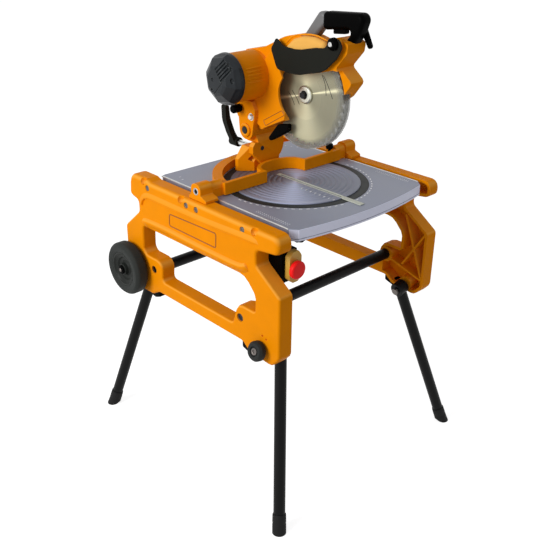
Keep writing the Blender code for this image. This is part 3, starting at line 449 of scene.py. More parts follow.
class Net:
    """A node tree with short ways to add and link nodes."""

    def __init__(self, tree):
        self.tree = tree

    def add(self, kind, inputs=(), **settings):
        node = self.tree.nodes.new(kind)
        for key, value in settings.items():
            setattr(node, key, value)
        for key, value in dict(inputs).items():
            self.put(value, node.inputs[key])
        return node

    def put(self, value, socket):
        """Link an output to a socket, or set the socket to a plain value."""
        if isinstance(value, bpy.types.NodeSocket):
            self.tree.links.new(value, socket)
        else:
            socket.default_value = value

    def math(self, operation, first, second=0.5, third=0.5, clamp=False):
        node = self.add("ShaderNodeMath", {0: first, 1: second, 2: third}, operation=operation, use_clamp=clamp)
        return node.outputs[0]

    def span(self, value, low, high, to_low, to_high):
        inputs = {"Value": value, "From Min": low, "From Max": high, "To Min": to_low, "To Max": to_high}
        return self.add("ShaderNodeMapRange", inputs).outputs["Result"]

    def group(self, group, inputs):
        return self.add("ShaderNodeGroup", inputs, node_tree=group).outputs

    def mix(self, share, first, second):
        return self.add("ShaderNodeMix", {0: share, 6: first, 7: second}, data_type="RGBA").outputs[2]


SOCKETS = {"value": "NodeSocketFloat", "colour": "NodeSocketColor", "vector": "NodeSocketVector"}


def new_group(name, inputs, outputs):
    """An empty shader group with named sockets; inputs are (name, kind, default)."""
    tree = bpy.data.node_groups.new(name, "ShaderNodeTree")
    for label, kind, default in inputs:
        socket = tree.interface.new_socket(label, in_out="INPUT", socket_type=SOCKETS[kind])
        socket.default_value = default
    for label, kind in outputs:
        tree.interface.new_socket(label, in_out="OUTPUT", socket_type=SOCKETS[kind])
    net = Net(tree)
    return net, net.add("NodeGroupInput").outputs, net.add("NodeGroupOutput").inputs


def mottle_group():
    """Slow unevenness of a colour: colour x (1 +- amount) by two sizes of noise."""
    net, given, out = new_group(
        "mottle", [("Colour", "colour", (1, 1, 1, 1)), ("Amount", "value", 0.1), ("Scale", "value", 12.0)],
        [("Colour", "colour"), ("Shade", "value")])
    place = net.add("ShaderNodeTexCoord").outputs["Object"]
    broad = net.add("ShaderNodeTexNoise", {"Vector": place, "Scale": given["Scale"], "Detail": 5.0, "Roughness": 0.6})
    shade = net.span(broad.outputs["Fac"], 0.3, 0.7, -1.0, 1.0)
    gain = net.math("MULTIPLY_ADD", shade, given["Amount"], 1.0)
    coloured = net.add("ShaderNodeVectorMath", {0: given["Colour"], "Scale": gain}, operation="SCALE")
    net.put(coloured.outputs[0], out["Colour"])
    net.put(broad.outputs["Fac"], out["Shade"])
    return net.tree


def grain_group():
    """Fine moulded or cast grain: a mix of small noise and smaller cells, as a height."""
    net, given, out = new_group(
        "grain", [("Scale", "value", 900.0), ("Pits", "value", 0.4)], [("Height", "value")])
    place = net.add("ShaderNodeTexCoord").outputs["Object"]
    noise = net.add("ShaderNodeTexNoise", {"Vector": place, "Scale": given["Scale"], "Detail": 3.0})
    cells = net.add("ShaderNodeTexVoronoi", {"Vector": place, "Scale": given["Scale"]}, feature="SMOOTH_F1")
    pits = net.math("MULTIPLY", cells.outputs["Distance"], given["Pits"])
    net.put(net.math("ADD", noise.outputs["Fac"], pits), out["Height"])
    return net.tree


def edge_wear_and_highlight_group():
    """Rubbed edges that double as painted edge highlights: where the normal rounded over a radius leaves the true one,
    broken by noise.
    """
    net, given, out = new_group(
        "edge_wear_and_highlight", [("Radius", "value", 0.002), ("Patch", "value", 60.0)], [("Mask", "value")])
    place = net.add("ShaderNodeTexCoord").outputs["Object"]
    true = net.add("ShaderNodeNewGeometry").outputs["Normal"]
    round_over = net.add("ShaderNodeBevel", {"Radius": given["Radius"]}, samples=4).outputs["Normal"]
    same = net.add("ShaderNodeVectorMath", {0: true, 1: round_over}, operation="DOT_PRODUCT").outputs["Value"]
    edge = net.span(same, 0.995, 0.86, 0.0, 1.0)
    noise = net.add("ShaderNodeTexNoise", {"Vector": place, "Scale": given["Patch"], "Detail": 4.0})
    patches = net.span(noise.outputs["Fac"], 0.35, 0.65, 0.25, 1.0)
    net.put(net.math("MULTIPLY", edge, patches, clamp=True), out["Mask"])
    return net.tree


def lathe_group():
    """Turning marks round the Z axis of the given place: sines of the radius, jittered by noise."""
    net, given, out = new_group(
        "lathe_marks", [("Place", "vector", (0, 0, 0)), ("Pitch", "value", 0.0012)],
        [("Height", "value"), ("Shade", "value"), ("Angle", "value")])
    parts = net.add("ShaderNodeSeparateXYZ", {0: given["Place"]}).outputs
    net.put(net.math("ARCTAN2", parts["Y"], parts["X"]), out["Angle"])
    flat = net.add("ShaderNodeVectorMath", {0: given["Place"], 1: (1, 1, 0)}, operation="MULTIPLY").outputs[0]
    radius = net.add("ShaderNodeVectorMath", {0: flat}, operation="LENGTH").outputs["Value"]
    turns = net.math("DIVIDE", radius, given["Pitch"])
    spread = net.add("ShaderNodeTexNoise", {"W": turns, "Scale": 0.35, "Detail": 3.0}, noise_dimensions="1D")
    wave = net.math("SINE", net.math("MULTIPLY", turns, 2 * math.pi))
    net.put(net.math("MULTIPLY_ADD", wave, 0.5, spread.outputs["Fac"]), out["Height"])
    net.put(spread.outputs["Fac"], out["Shade"])
    return net.tree


def facing_group():
    """How far a surface faces a direction: 0 to 1 as normal . direction goes from low to high."""
    net, given, out = new_group(
        "facing", [("Direction", "vector", (0, 0, 1)), ("Low", "value", 0.0), ("High", "value", 1.0)],
        [("Mask", "value")])
    normal = net.add("ShaderNodeNewGeometry").outputs["Normal"]
    share = net.add("ShaderNodeVectorMath", {0: normal, 1: given["Direction"]}, operation="DOT_PRODUCT")
    net.put(net.span(share.outputs["Value"], given["Low"], given["High"], 0.0, 1.0), out["Mask"])
    return net.tree


MOTTLE = mottle_group()
GRAIN = grain_group()
EDGE_WEAR_AND_HIGHLIGHT = edge_wear_and_highlight_group()
LATHE = lathe_group()
FACING = facing_group()


def new_finish(name, **fixed):
    """A material whose shader's even values are set on its own sockets."""
    material = bpy.data.materials.new(name)
    material.use_nodes = True
    shader = material.node_tree.nodes["Principled BSDF"]
    for key, value in fixed.items():
        shader.inputs[key.replace("_", " ").title().replace("Ior", "IOR")].default_value = value
    return material, Net(material.node_tree), shader.inputs


def bumped(net, sockets, height, strength, distance):
    """Tilt a finish's normals by a height, over a distance in millimetres."""
    bump = net.add("ShaderNodeBump", {"Height": height, "Strength": strength, "Distance": distance * MM})
    net.put(bump.outputs["Normal"], sockets["Normal"])


def coated(name, colour, wear_and_highlight_colour, roughness, grain=420.0, relief=0.25, mottle=0.05, wear_and_highlight_share=0.5, rims=0.0, front=None,
           **fixed):
    """Paint, powder coat or moulded plastic: mottled colour, paler rubbed edges that double as painted edge
    highlights, uneven gloss and a fine grain. Up-sloping roundings between sides and tops can carry a painted highlight
    (rims), and faces to the front a painted highlight colour (front)."""
    material, net, sockets = new_finish(name, **fixed)
    base = net.group(MOTTLE, {"Colour": (*colour, 1), "Amount": mottle, "Scale": 14.0})
    # Rubbed edges made paler; the same mask serves as a painted highlight along edges.
    paler = net.math("MULTIPLY", net.group(EDGE_WEAR_AND_HIGHLIGHT, {"Radius": 0.0022, "Patch": 55.0})["Mask"], wear_and_highlight_share)
    # Painted highlight: roundings that slope up between sides and tops are made paler, as if lit from above.
    if rims:
        sloped = net.group(FACING, {"Direction": UP, "Low": 0.15, "High": 0.6})["Mask"]
        level = net.group(FACING, {"Direction": UP, "Low": 0.95, "High": 0.7})["Mask"]
        paler = net.math("MAXIMUM", paler, net.math("MULTIPLY", net.math("MULTIPLY", sloped, level), rims))
    paint = net.mix(paler, base["Colour"], (*wear_and_highlight_colour, 1))
    # Painted highlight: faces towards the front take another, paler colour, as if catching light.
    if front:
        ahead = net.group(FACING, {"Direction": -ALONG_Y, "Low": 0.4, "High": 0.8})["Mask"]
        paint = net.mix(ahead, paint, (*front, 1))
    net.put(paint, sockets["Base Color"])
    rough = net.span(base["Shade"], 0.3, 0.7, roughness - 0.05, roughness + 0.07)
    net.put(rough, sockets["Roughness"])
    bumped(net, sockets, net.group(GRAIN, {"Scale": grain, "Pits": 0.5})["Height"], relief, 0.3)
    return material


def metal(name, colour, roughness, stretch=(1, 1, 1), marks=0.12, **fixed):
    """Bare metal: drawn marks from noise squeezed along one direction, in colour and gloss."""
    material, net, sockets = new_finish(name, metallic=1.0, **fixed)
    place = net.add("ShaderNodeTexCoord").outputs["Object"]
    drawn = net.add("ShaderNodeMapping", {"Vector": place, "Scale": stretch}).outputs[0]
    noise = net.add("ShaderNodeTexNoise", {"Vector": drawn, "Scale": 260.0, "Detail": 4.0}).outputs["Fac"]
    base = net.group(MOTTLE, {"Colour": (*colour, 1), "Amount": marks, "Scale": 30.0})["Colour"]
    net.put(base, sockets["Base Color"])
    net.put(net.span(noise, 0.3, 0.7, roughness - 0.08, roughness + 0.1), sockets["Roughness"])
    bumped(net, sockets, noise, 0.12, 0.2)
    return material


def lathed(name, colour, roughness, centre, turn, pitch, shade, strength, painted_highlight_lobes, **fixed):
    """Turned metal: rings round an axis, which a Mapping node centres and turns onto Z. Each lobe
    (degrees, sharpness, gain) is a painted highlight that brightens two opposite sectors by gain |cos(angle)| ^
    sharpness."""
    material, net, sockets = new_finish(name, **fixed)
    place = net.add("ShaderNodeTexCoord").outputs["Object"]
    centred = net.add("ShaderNodeMapping", {"Vector": place, "Location": Vector(centre) * -MM}).outputs[0]
    flat = net.add("ShaderNodeMapping", {"Vector": centred, "Rotation": turn}).outputs[0]
    rings = net.group(LATHE, {"Place": flat, "Pitch": pitch * MM})
    base = net.group(MOTTLE, {"Colour": (*colour, 1), "Amount": 0.04, "Scale": 10.0})["Colour"]
    gain = net.span(rings["Shade"], 0.3, 0.7, 1 - shade, 1 + shade)
    # Painted highlights: bright sectors as light on turned metal would give.
    for degrees, sharpness, rise in painted_highlight_lobes:
        off = net.math("SUBTRACT", rings["Angle"], math.radians(degrees))
        lobe = net.math("POWER", net.math("ABSOLUTE", net.math("COSINE", off)), sharpness)
        gain = net.math("MULTIPLY_ADD", lobe, rise, gain)
    coloured = net.add("ShaderNodeVectorMath", {0: base, "Scale": gain}, operation="SCALE").outputs[0]
    net.put(coloured, sockets["Base Color"])
    net.put(net.span(rings["Shade"], 0.3, 0.7, roughness - 0.06, roughness + 0.08), sockets["Roughness"])
    bumped(net, sockets, rings["Height"], strength, 0.15)
    return material


def clear_plastic():
    """Clear moulded guard: a thin see-through shell with scuffs in its gloss, greyer round its rim."""
    material, net, sockets = new_finish("clear_guard", ior=1.12, transmission_weight=0.35)
    base = net.group(MOTTLE, {"Colour": (0.32, 0.32, 0.29, 1), "Amount": 0.05, "Scale": 25.0})
    place = net.add("ShaderNodeTexCoord").outputs["Object"]
    centred = net.add("ShaderNodeMapping", {"Vector": place, "Location": Vector(ARBOR) * -MM}).outputs[0]
    flat = net.add("ShaderNodeVectorMath", {0: centred, 1: (0, 1, 1)}, operation="MULTIPLY").outputs[0]
    radius = net.add("ShaderNodeVectorMath", {0: flat}, operation="LENGTH").outputs["Value"]
    net.put(net.span(radius, 0.108, 0.121, 0.05, 0.55), sockets["Alpha"])
    net.put(base["Colour"], sockets["Base Color"])
    net.put(net.span(base["Shade"], 0.3, 0.7, 0.05, 0.12), sockets["Roughness"])
    return material


# Cast yellow: its up-sloping roundings carry a painted highlight, and its paler edge colour is that highlight's colour.
YELLOW = coated("cast_yellow", (0.87, 0.275, 0.0008), (1.0, 0.47, 0.07), 0.42, 300.0, 0.1, 0.04, 0.45, 0.6,
                specular_ior_level=0.03)
# A darker copy of the cast yellow for the motor can: painted shade.
CAN_SHADED_YELLOW = coated("can_yellow_painted_shade", (0.80, 0.255, 0.0008), (1.0, 0.47, 0.07), 0.42, 300.0, 0.1, 0.04, 0.45,
                    specular_ior_level=0.03)
# A paler copy of the cast yellow for the hood: painted highlight.
HOOD_LIT_YELLOW = coated("hood_yellow_painted_highlight", (0.87, 0.46, 0.1), (1.0, 0.6, 0.2), 0.42, 300.0, 0.1, 0.04, 0.4,
                     specular_ior_level=0.06)
# Table grey: faces towards the front take a paler bluish colour, a painted highlight.
TABLE = coated("table_grey", (0.265, 0.287, 0.37), (0.6, 0.62, 0.7), 0.42, 700.0, 0.12, 0.06, 0.6,
               front=(0.8, 0.82, 1.0), metallic=0.05)
# Pale steel for the strips that stand in for the highlight along the table's rolled edges: painted highlight.
HIGHLIGHT_STRIP_STEEL = metal("edge_strip_painted_highlight", (0.66, 0.68, 0.66), 0.34, (1, 0.03, 1))
BLACK = coated("black_plastic", (0.001, 0.001, 0.001), (0.006, 0.006, 0.006), 0.42, 800.0, 0.25, 0.12, 0.5,
               specular_ior_level=0.02)
KNOB_BLACK = coated("knob_black", (0.022, 0.024, 0.023), (0.06, 0.062, 0.06), 0.45, 800.0, 0.25, 0.12, 0.5,
                    specular_ior_level=0.1)
SHIELD = coated("shield_black", (0.010, 0.0105, 0.008), (0.035, 0.035, 0.03), 0.6, 800.0, 0.2, 0.12, 0.5,
                specular_ior_level=0.08)
TUBE_BLACK = coated("black_paint", (0.004, 0.004, 0.004), (0.018, 0.018, 0.018), 0.4, 600.0, 0.2, 0.12, 0.4,
                    specular_ior_level=0.12)
FOOT_RUBBER = coated("foot_rubber", (0.008, 0.008, 0.008), (0.03, 0.03, 0.03), 0.7, 500.0, 0.4, 0.15, 0.4,
                     specular_ior_level=0.2)
TYRE_RUBBER = coated("wheel_rubber", (0.027, 0.030, 0.028), (0.07, 0.075, 0.07), 0.62, 500.0, 0.3, 0.12, 0.5,
                     specular_ior_level=0.12)
HUB_GREY = coated("hub_grey", (0.014, 0.016, 0.014), (0.05, 0.055, 0.05), 0.45, 500.0, 0.3, 0.1, 0.6,
                  specular_ior_level=0.12)
MOTOR_GREY = coated("motor_grey", (0.015, 0.018, 0.021), (0.12, 0.135, 0.13), 0.36, 650.0, 0.25, 0.1, 0.6,
                    specular_ior_level=0.2)
STEEL = metal("steel", (0.66, 0.66, 0.64), 0.3)
BOLT_STEEL = metal("bolt_steel", (0.45, 0.47, 0.5), 0.32, (1, 1, 1), 0.2)
DULL_STEEL = metal("dull_steel", (0.15, 0.135, 0.125), 0.42, (1, 1, 1), 0.2)
DARK_STEEL = metal("dark_steel", (0.035, 0.035, 0.036), 0.42, (1, 1, 1), 0.2)
WASHER = metal("washer_pale", (0.62, 0.62, 0.53), 0.36)
CREAM = coated("kerf_cream", (0.56, 0.585, 0.50), (0.72, 0.74, 0.66), 0.5, 600.0, 0.2, 0.06, 0.4)
RED = coated("button_red", (1.0, 0.012, 0.012), (1.0, 0.08, 0.07), 0.34, 700.0, 0.12, 0.04, 0.3,
             specular_ior_level=0.15)
PALE = coated("switch_pale", (0.62, 0.36, 0.05), (0.85, 0.56, 0.16), 0.45, 700.0, 0.15, 0.05, 0.3)
INLET = coated("inlet_grey", (0.11, 0.1, 0.14), (0.3, 0.3, 0.34), 0.4, 700.0, 0.2, 0.08, 0.5)
STRUT_GREY = coated("handle_grey", (0.15, 0.15, 0.152), (0.34, 0.34, 0.34), 0.45, 700.0, 0.25, 0.1, 0.5)
CORE = metal("motor_core", (0.28, 0.2, 0.15), 0.45)
BELT = coated("belt_rubber", (0.015, 0.015, 0.015), (0.05, 0.05, 0.05), 0.7)
WHITE_MARK = coated("mark_white", (0.85, 0.86, 0.88), (0.85, 0.86, 0.88), 0.5, 700.0, 0.1, 0.04, 0.0)
# Dark brown lines round the badges.
BADGE_LINE_BROWN = coated("badge_line_brown", (0.30, 0.075, 0.002), (0.4, 0.11, 0.004), 0.5, 700.0, 0.1, 0.06, 0.0)
# Turned disc: its lobes are painted highlights, two pairs of opposite bright sectors.
DISC = lathed("disc_turned", (0.15, 0.165, 0.225), 0.4, (0, TURN_Y, 0), (0, 0, 0), 0.9, 0.08, 0.25,
              ((-138, 16, 1.2), (-150, 3, 1.1)), metallic=0.12)
# Blade steel: its lobes are painted highlights, among them a narrow streak through the arbor and a lift of the side
# that lies in the arm's shade.
BLADE_STEEL = lathed("blade_steel", (0.22, 0.21, 0.14), 0.34, ARBOR, (0, math.pi / 2, 0), 0.7, 0.03, 0.04,
                     ((0, 6, 2.1), (-45, 8, 0.5), (90, 2, 0.35), (-75, 900, 3.4)), metallic=0.12)
CLEAR = clear_plastic()


# Stand

# Scoops as (y, rim height) along a frame's shoulder, and the (radius, height) profile of one
SCOOPS = [(202.3, 763), (46, 757.3), (-223, 757.8)]
SCOOP = [(0, -18), (5, -16.5), (8, -13), (9.8, -8.5), (10.5, -4), (10.5, 9), (0, 9)]
BOLT_PLACES = [(184, 741), (23, 741), (-16, 741), (-184, 743)]
PIN_HOLES = [(-254, 496), (-267, 491)]
AXLE_BORES = [(264, 495), (-252, 452)]


def in_frame_cut(vert):
    """Whether a point belongs to one of the small cuts in a frame's rim and outer face."""
    x, y, z = abs(vert.co.x) / MM, vert.co.y / MM, vert.co.z / MM
    scooped = any(math.hypot(x - FRAME_OUTER - 2, y - place) < 12.3 and z > rim - 6.8 for place, rim in SCOOPS)
    return scooped or (x > FRAME_OUTER - 3.2 and any(math.hypot(y - a, z - b) < 8.3 for a, b in BOLT_PLACES))


def frame_share(edge):
    """Outer rims of a side frame round over, the shoulder most; bores and ribs stay sharp."""
    if len(edge.link_faces) != 2 or edge.calc_face_angle(0) < math.radians(30):
        return 0.0
    if min(abs(vert.co.x) for vert in edge.verts) < (FRAME_OUTER - 0.05) * MM:
        return 0.0
    middle = (edge.verts[0].co + edge.verts[1].co) / (2 * MM)
    if any(math.hypot(middle.y - y, middle.z - z) < 16 for y, z in AXLE_BORES):
        return 0.0
    return min(max(0.5 + 0.5 * (middle.z - 690) / 60, 0.5), 1.0)


def frame_scoops():
    """The scoop profile turned about an upright at each place along the shoulder."""
    return together(*(turned(SCOOP, (FRAME_OUTER - 1, y, rim), UP, 40) for y, rim in SCOOPS))


def frame_cuts():
    """Scoops down from the shoulder and round sinkings in the outer face."""
    cuts = [frame_scoops()]
    for places, radius, depth in ((BOLT_PLACES, 8, 3), (PIN_HOLES, 3, 4), (TUBE_PLACES, 11, 4.5)):
        profile = rod_profile(radius, FRAME_OUTER - depth, FRAME_OUTER + 5)
        cuts += [turned(profile, (0, y, z), ALONG_X, 32) for y, z in places]
    return together(*cuts)


# Two swells along a frame's outer face: their (y, z) lines and their sections, (outwards, down or up)
SHOULDER = [(210, 687), (207, 697), (200, 706), (190, 711.5), (167, 715), (80, 715.5), (-4, 716), (-100, 719),
            (-182, 723), (-240, 725)]
SHOULDER_SECTION = [(-1.5, -1), (0.5, -1), (4.2, 0.0), (5.2, 1.6), (4.8, 3.5), (3.0, 8), (1.2, 12), (-0.4, 15.5),
                    (-1.5, 15.5)]
RIDGE = [(207, 640), (201, 645), (160, 648), (100, 649), (0, 647.5), (-93, 647), (-160, 648), (-188, 652), (-200, 660)]
RIDGE_SECTION = [(-1.5, 10), (0, 8.5), (3.2, 6), (6, 3.2), (7, 0.6), (6.8, -2), (5.2, -6.5), (2.4, -11),
                 (-0.2, -14.5), (-1.5, -14.5)]
BADGE = [(92, 698, 6), (94, 666, 6), (-89, 666, 6), (-91, 704, 6)]


def smooth_line(corners, count=60):
    """Points evenly spread along a Catmull-Rom curve through the corners."""
    corners = np.asarray(corners, float)
    ends = np.concatenate([2 * corners[:1] - corners[1:2], corners, 2 * corners[-1:] - corners[-2:-1]])
    t = np.linspace(0, len(corners) - 1.000001, count)
    k = t.astype(int)
    s = (t - k)[:, None]
    a, b, c, d = (ends[k + shift] for shift in range(4))
    return 0.5 * (2 * b + (c - a) * s + (2 * a - 5 * b + 4 * c - d) * s ** 2 + (3 * b - a - 3 * c + d) * s ** 3)


def faded(count, share=0.12):
    """Sizes along a bar that rise from nothing to one as a quarter round at each end."""
    t = np.linspace(0, 1, count)
    rise = np.clip(np.minimum(t, 1 - t) / share, 0, 1)
    return np.sqrt(np.maximum(1 - (1 - rise) ** 2, 1e-4))


left_frame = cast("left_side_frame", YELLOW, 13.0, 6, chosen=frame_share, closed_over=in_frame_cut,
                  sunk=mirrored(frame_cuts(), -1))
other_side = left_frame.data.copy()
other_side.transform(Matrix.Diagonal((-1, 1, 1, 1)))
other_side.flip_normals()
flat_shaded(placed("right_side_frame_cast", other_side, YELLOW, "stand", ("right_side_frame",), 32))
for word, side in SIDES:
    backs = [plate(np.array([(y - 13.5, rim - 26), (y + 13.5, rim - 26), (y + 13.5, rim - 7), (y - 13.5, rim - 7)]),
                   "X", 262, 287.5, 0.5, 1) for y, rim in SCOOPS]
    pockets = cut_into(meshed("backs", mirrored(together(*backs), side)), mirrored(frame_scoops(), side))
    placed(f"{word}_scoop_backs", pockets, YELLOW, "stand", (), 32)
    cast(f"pivot_lug_{word}", YELLOW, 3.5, 4)
    ridges = []
    for line, section in ((SHOULDER, SHOULDER_SECTION), (RIDGE, RIDGE_SECTION)):
        path = raised(smooth_line(line, 90), "X", FRAME_OUTER)
        ridges.append(bar(path, section, ALONG_X, swell=faded(90, 0.06)))
    dress(f"{word}_frame_relief", mirrored(together(*ridges), side), YELLOW, "stand", "cast_yellow", crease=50)
    line = raised(eased(BADGE), "X", FRAME_OUTER)
    dress(f"{word}_badge_rim", mirrored(bar(line, disc_section(1.5, 8), ALONG_X, True), side), BADGE_LINE_BROWN, "stand",
          "cast_yellow")
    heads = [socket_screw((FRAME_OUTER - 3, y, z), ALONG_X, 6.8, 0.05, 2.4) for y, z in BOLT_PLACES]
    dress(f"{word}_frame_bolts", mirrored(together(*heads), side), DULL_STEEL, "stand", "steel")
    sockets = [socket_screw((FRAME_OUTER - 4.5, y, z), ALONG_X, 9.5, 0.05, 2.6) for y, z in TUBE_PLACES]
    dress(f"{word}_tube_bolts", mirrored(together(*sockets), side), DARK_STEEL, "stand", "steel")
    stops = [plate(eased(outline), "X", 262, 284, 2.5, 3) for outline in LEG_STOPS]
    dress(f"{word}_leg_stops", mirrored(together(*stops), side), BLACK, "stand", "black_plastic")

for word, y in (("front", -TUBE_Y), ("rear", TUBE_Y)):
    tube = turned([(0, -284), (14.2, -284), (15, -283), (15, 283), (14.2, 284), (0, 284)], (0, y, TUBE_Z), ALONG_X, 48)
    dress(f"{word}_tube", tube, TUBE_BLACK, "stand", "black_paint", f"{word}_cross_tube")


# Legs

def leg_lines(end, side):
    """Pivot, run towards the foot, length and outward hinge line of a leg."""
    x, y, z = LEG_PIVOTS[end]
    pivot = np.array([side * x, y, z])
    foot = np.array([side * FOOT[0], math.copysign(FOOT[1], y), 0.0])
    run = foot - pivot
    hinge = unit((-side * run[2], 0.0, side * run[0]))
    return pivot, unit(run), np.linalg.norm(run), hinge


def on_floor(shape):
    """A shape's lowest points lifted to the floor: z -> max(z, 0)."""
    points, faces = shape
    return points * np.array([1, 1, 0]) + np.maximum(points[:, 2:], 0) * UP, faces


for word, side in SIDES:
    for end in ("front", "rear"):
        pivot, run, length, hinge = leg_lines(end, side)
        tube = turned(rod_profile(LEG_RADIUS, 9, length - 9), pivot, run, 40)
        knuckle = [(6.3, -15.6), (18.5, -15.6), (20, -14), (20, 14), (18.5, 15.6), (6.3, 15.6)]
        leg = together(tube, turned(knuckle, pivot, hinge, 40, True))
        dress(f"leg_{end}_{word}", leg, TUBE_BLACK, f"leg_{end}_{word}", "black_paint", f"leg_tube_{end}_{word}")
        cup = [(15.2, length - 46), (16.6, length - 46), (17.2, length - 44), (17.6, length - 26), (17.0, length - 24),
               (17.0, length - 21), (17.5, length - 20), (17.6, length - 12), (17.6, length + 10), (0, length + 10),
               (0, length - 8.6), (15.2, length - 8.6)]
        dress(f"foot_{end}_{word}", on_floor(turned(cup, pivot, run, 40, True)), FOOT_RUBBER, f"leg_{end}_{word}",
              "foot_rubber", f"leg_foot_{end}_{word}")
    pivot, run, length, hinge = leg_lines("front", side)
    knob = eased([(0, 70), (11, 70, 1), (14, 73, 2), (25, 74.8, 2), (25, 87, 4), (20, 93, 3), (13, 93, 1),
                  (11, 88.5, 1), (0, 88.5)], False)
    stud = [(0, -24), (9, -24), (10, -23), (10, -16), (6, -16), (6, 72), (0, 72)]
    head = socket_screw(pivot, hinge, 9.0, 87, 92)
    dress(f"leg_hand_knob_{word}", turned(knob, pivot, hinge, 48), KNOB_BLACK, f"leg_knob_{word}_body", "black_plastic",
          f"leg_knob_{word}")
    dress(f"leg_stud_{word}", together(turned(stud, pivot, hinge, 24), head), DULL_STEEL,
          f"leg_knob_{word}_body", "steel")
    pivot, run, length, hinge = leg_lines("rear", side)
    bolt = [(0, -24), (9, -24), (10, -23), (10, -16), (6, -16), (6, 42), (0, 42)]
    dress(f"leg_rear_bolt_{word}", turned(bolt, pivot, hinge, 24), BOLT_STEEL, "stand", "steel", f"leg_bolt_{word}")


# Wheels

for word, side in SIDES:
    place = (side * WHEEL[0], WHEEL[1], WHEEL[2])
    out = side * ALONG_X
    tyre = eased([(48, -17, 2), (58, -19.6, 5), (66, -20, 6), (74, -12, 9), (74, 12, 9), (66, 20, 6), (58, 19.6, 5),
                  (48, 17, 2)], True, 10)
    dress(f"tyre_{word}_round", turned(tyre, place, out, 72, True), TYRE_RUBBER, f"wheel_{word}", "wheel_rubber",
          f"tyre_{word}")
    hub = eased([(8.3, -19.5), (14, -19.5, 1), (16, -17, 1), (20, -9, 3), (40, -11, 4), (47, -16, 1), (47.6, -16.5),
                 (47.6, 16.5), (44, 17, 1), (40, 13, 3), (33, 10.5, 2), (30, 6, 2), (22, 5, 3), (17, 9, 2),
                 (15.5, 18, 2), (8.3, 19.5)], True)
    dress(f"hub_{word}", turned(hub, place, out, 64, True), HUB_GREY, f"wheel_{word}", "motor_grey",
          f"wheel_hub_{word}")
    axle = eased([(0, 272.8), (8, 272.8), (8, 293.3), (12, 293.3), (12, 298), (8, 298), (8, 338.5), (13, 338.5),
                  (13, 341, 1.5), (8, 343, 3), (0, 343)], False)
    dress(f"axle_{word}", turned(axle, (0, WHEEL[1], WHEEL[2]), out, 32), BLACK, "stand", "steel", f"wheel_axle_{word}")
    screw = socket_screw((side * 342.4, WHEEL[1], WHEEL[2]), out, 5.2, 0, 1.6)
    dress(f"axle_screw_{word}", screw, DULL_STEEL, "stand", "steel")


# Switch

cast("switch_housing", BLACK, 3.0)
cast("switch_faceplate", PALE, 3.0, 4)
ring = eased([(8.5, 606), (10.5, 606, 0.8), (10.5, 626, 1.5), (8.5, 627, 0.5)])
dress("inlet_ring", turned(ring, (BUTTON[0], -240, 0), UP, 32, True), INLET, "stand", "black_plastic")
button = eased([(0, 266), (9, 266), (9, 291.5, 0.5), (20.5, 291.6, 1), (22, 293.5, 1), (22, 301.5, 2.5), (19, 304.2, 3),
                (0, 304.3)], False)
dress("mushroom_button", turned(button, BUTTON, -ALONG_Y, 48), RED, "stop_button_body", "button_red", "stop_button")


# Table

cast("table_top", TABLE, 2.5)
cast("bench_plate", TABLE, 1.2, 2)
ring = eased([(168.4, 745.3), (189, 745.3), (189, 757.5, 0.8), (168.4, 757.5, 0.8)])
dress("deck_ring", turned(ring, (0, TURN_Y, 0), UP, 128, True), KNOB_BLACK, "table", "black_plastic", "turntable_ring")
cast("fence", YELLOW, 3.0)
for word, side in SIDES:
    shaft = [(0, 216.5), (9, 216.5), (9, 278.4), (8.4, 279), (6.4, 279), (5.8, 278.4), (5.8, 271), (0, 270)]
    dress(f"flip_pin_{word}", turned(shaft, (0, 0, FLIP_Z), side * ALONG_X, 32), BOLT_STEEL, "table", "steel",
          f"flip_shaft_{word}")
    socket = turned(rod_profile(5.7, 270.2, 272.5), (0, 0, FLIP_Z), side * ALONG_X, 24)
    dress(f"flip_socket_{word}", socket, DARK_STEEL, "table", "steel")
    # A pale strip along each table edge stands in for the rolled edge's highlight: painted highlight.
    line = smooth_line([(196, 755.2), (190, 756.6), (100, 756.6), (0, 756.6), (-150, 756.6), (-262, 756.6),
                        (-270, 755.2)], 80)
    strip = bar(raised(line, "X", side * 234.2), disc_section(2.1, 12), UP, swell=faded(80, 0.03))
    dress(f"table_highlight_strip_{word}", strip, HIGHLIGHT_STRIP_STEEL, "table", "steel")
latch = eased([(0, 714), (7, 714, 1), (8.5, 717, 1), (8.5, 725, 1), (4, 728, 1), (4, 739), (0, 739)], False)
dress("latch_knob", turned(latch, (-192, -272, 0), UP, 32), BLACK, "table_latch_body", "black_plastic", "table_latch")
knob = eased([(0, 767), (4, 767), (4, 790, 0.5), (9, 792, 1), (11, 798, 3), (9, 806, 2), (0, 807)], False)
dress("fence_hand_knob", turned(knob, (186, -4, 0), UP, 32), BLACK, "fence_knob_body", "black_plastic", "fence_knob")


# Turntable

DISC_RIM = [TURN_RADIUS - 1.2, TURN_RADIUS]


def ring_height(radius, x):
    """Top of the disc: level near the middle, the rim and the kerf, elsewhere rings 13.7 mm apart."""
    wave = 0.5 - 0.5 * np.cos(2 * math.pi * (radius - 30.8) / 13.7)
    depth = 1.7 * np.clip((np.abs(x) - 12) / 6, 0, 1) * ((radius > 30.8) & (radius < 154))
    return TURN_TOP - depth * wave ** 1.5 - 0.9 * (radius > TURN_RADIUS - 0.5)


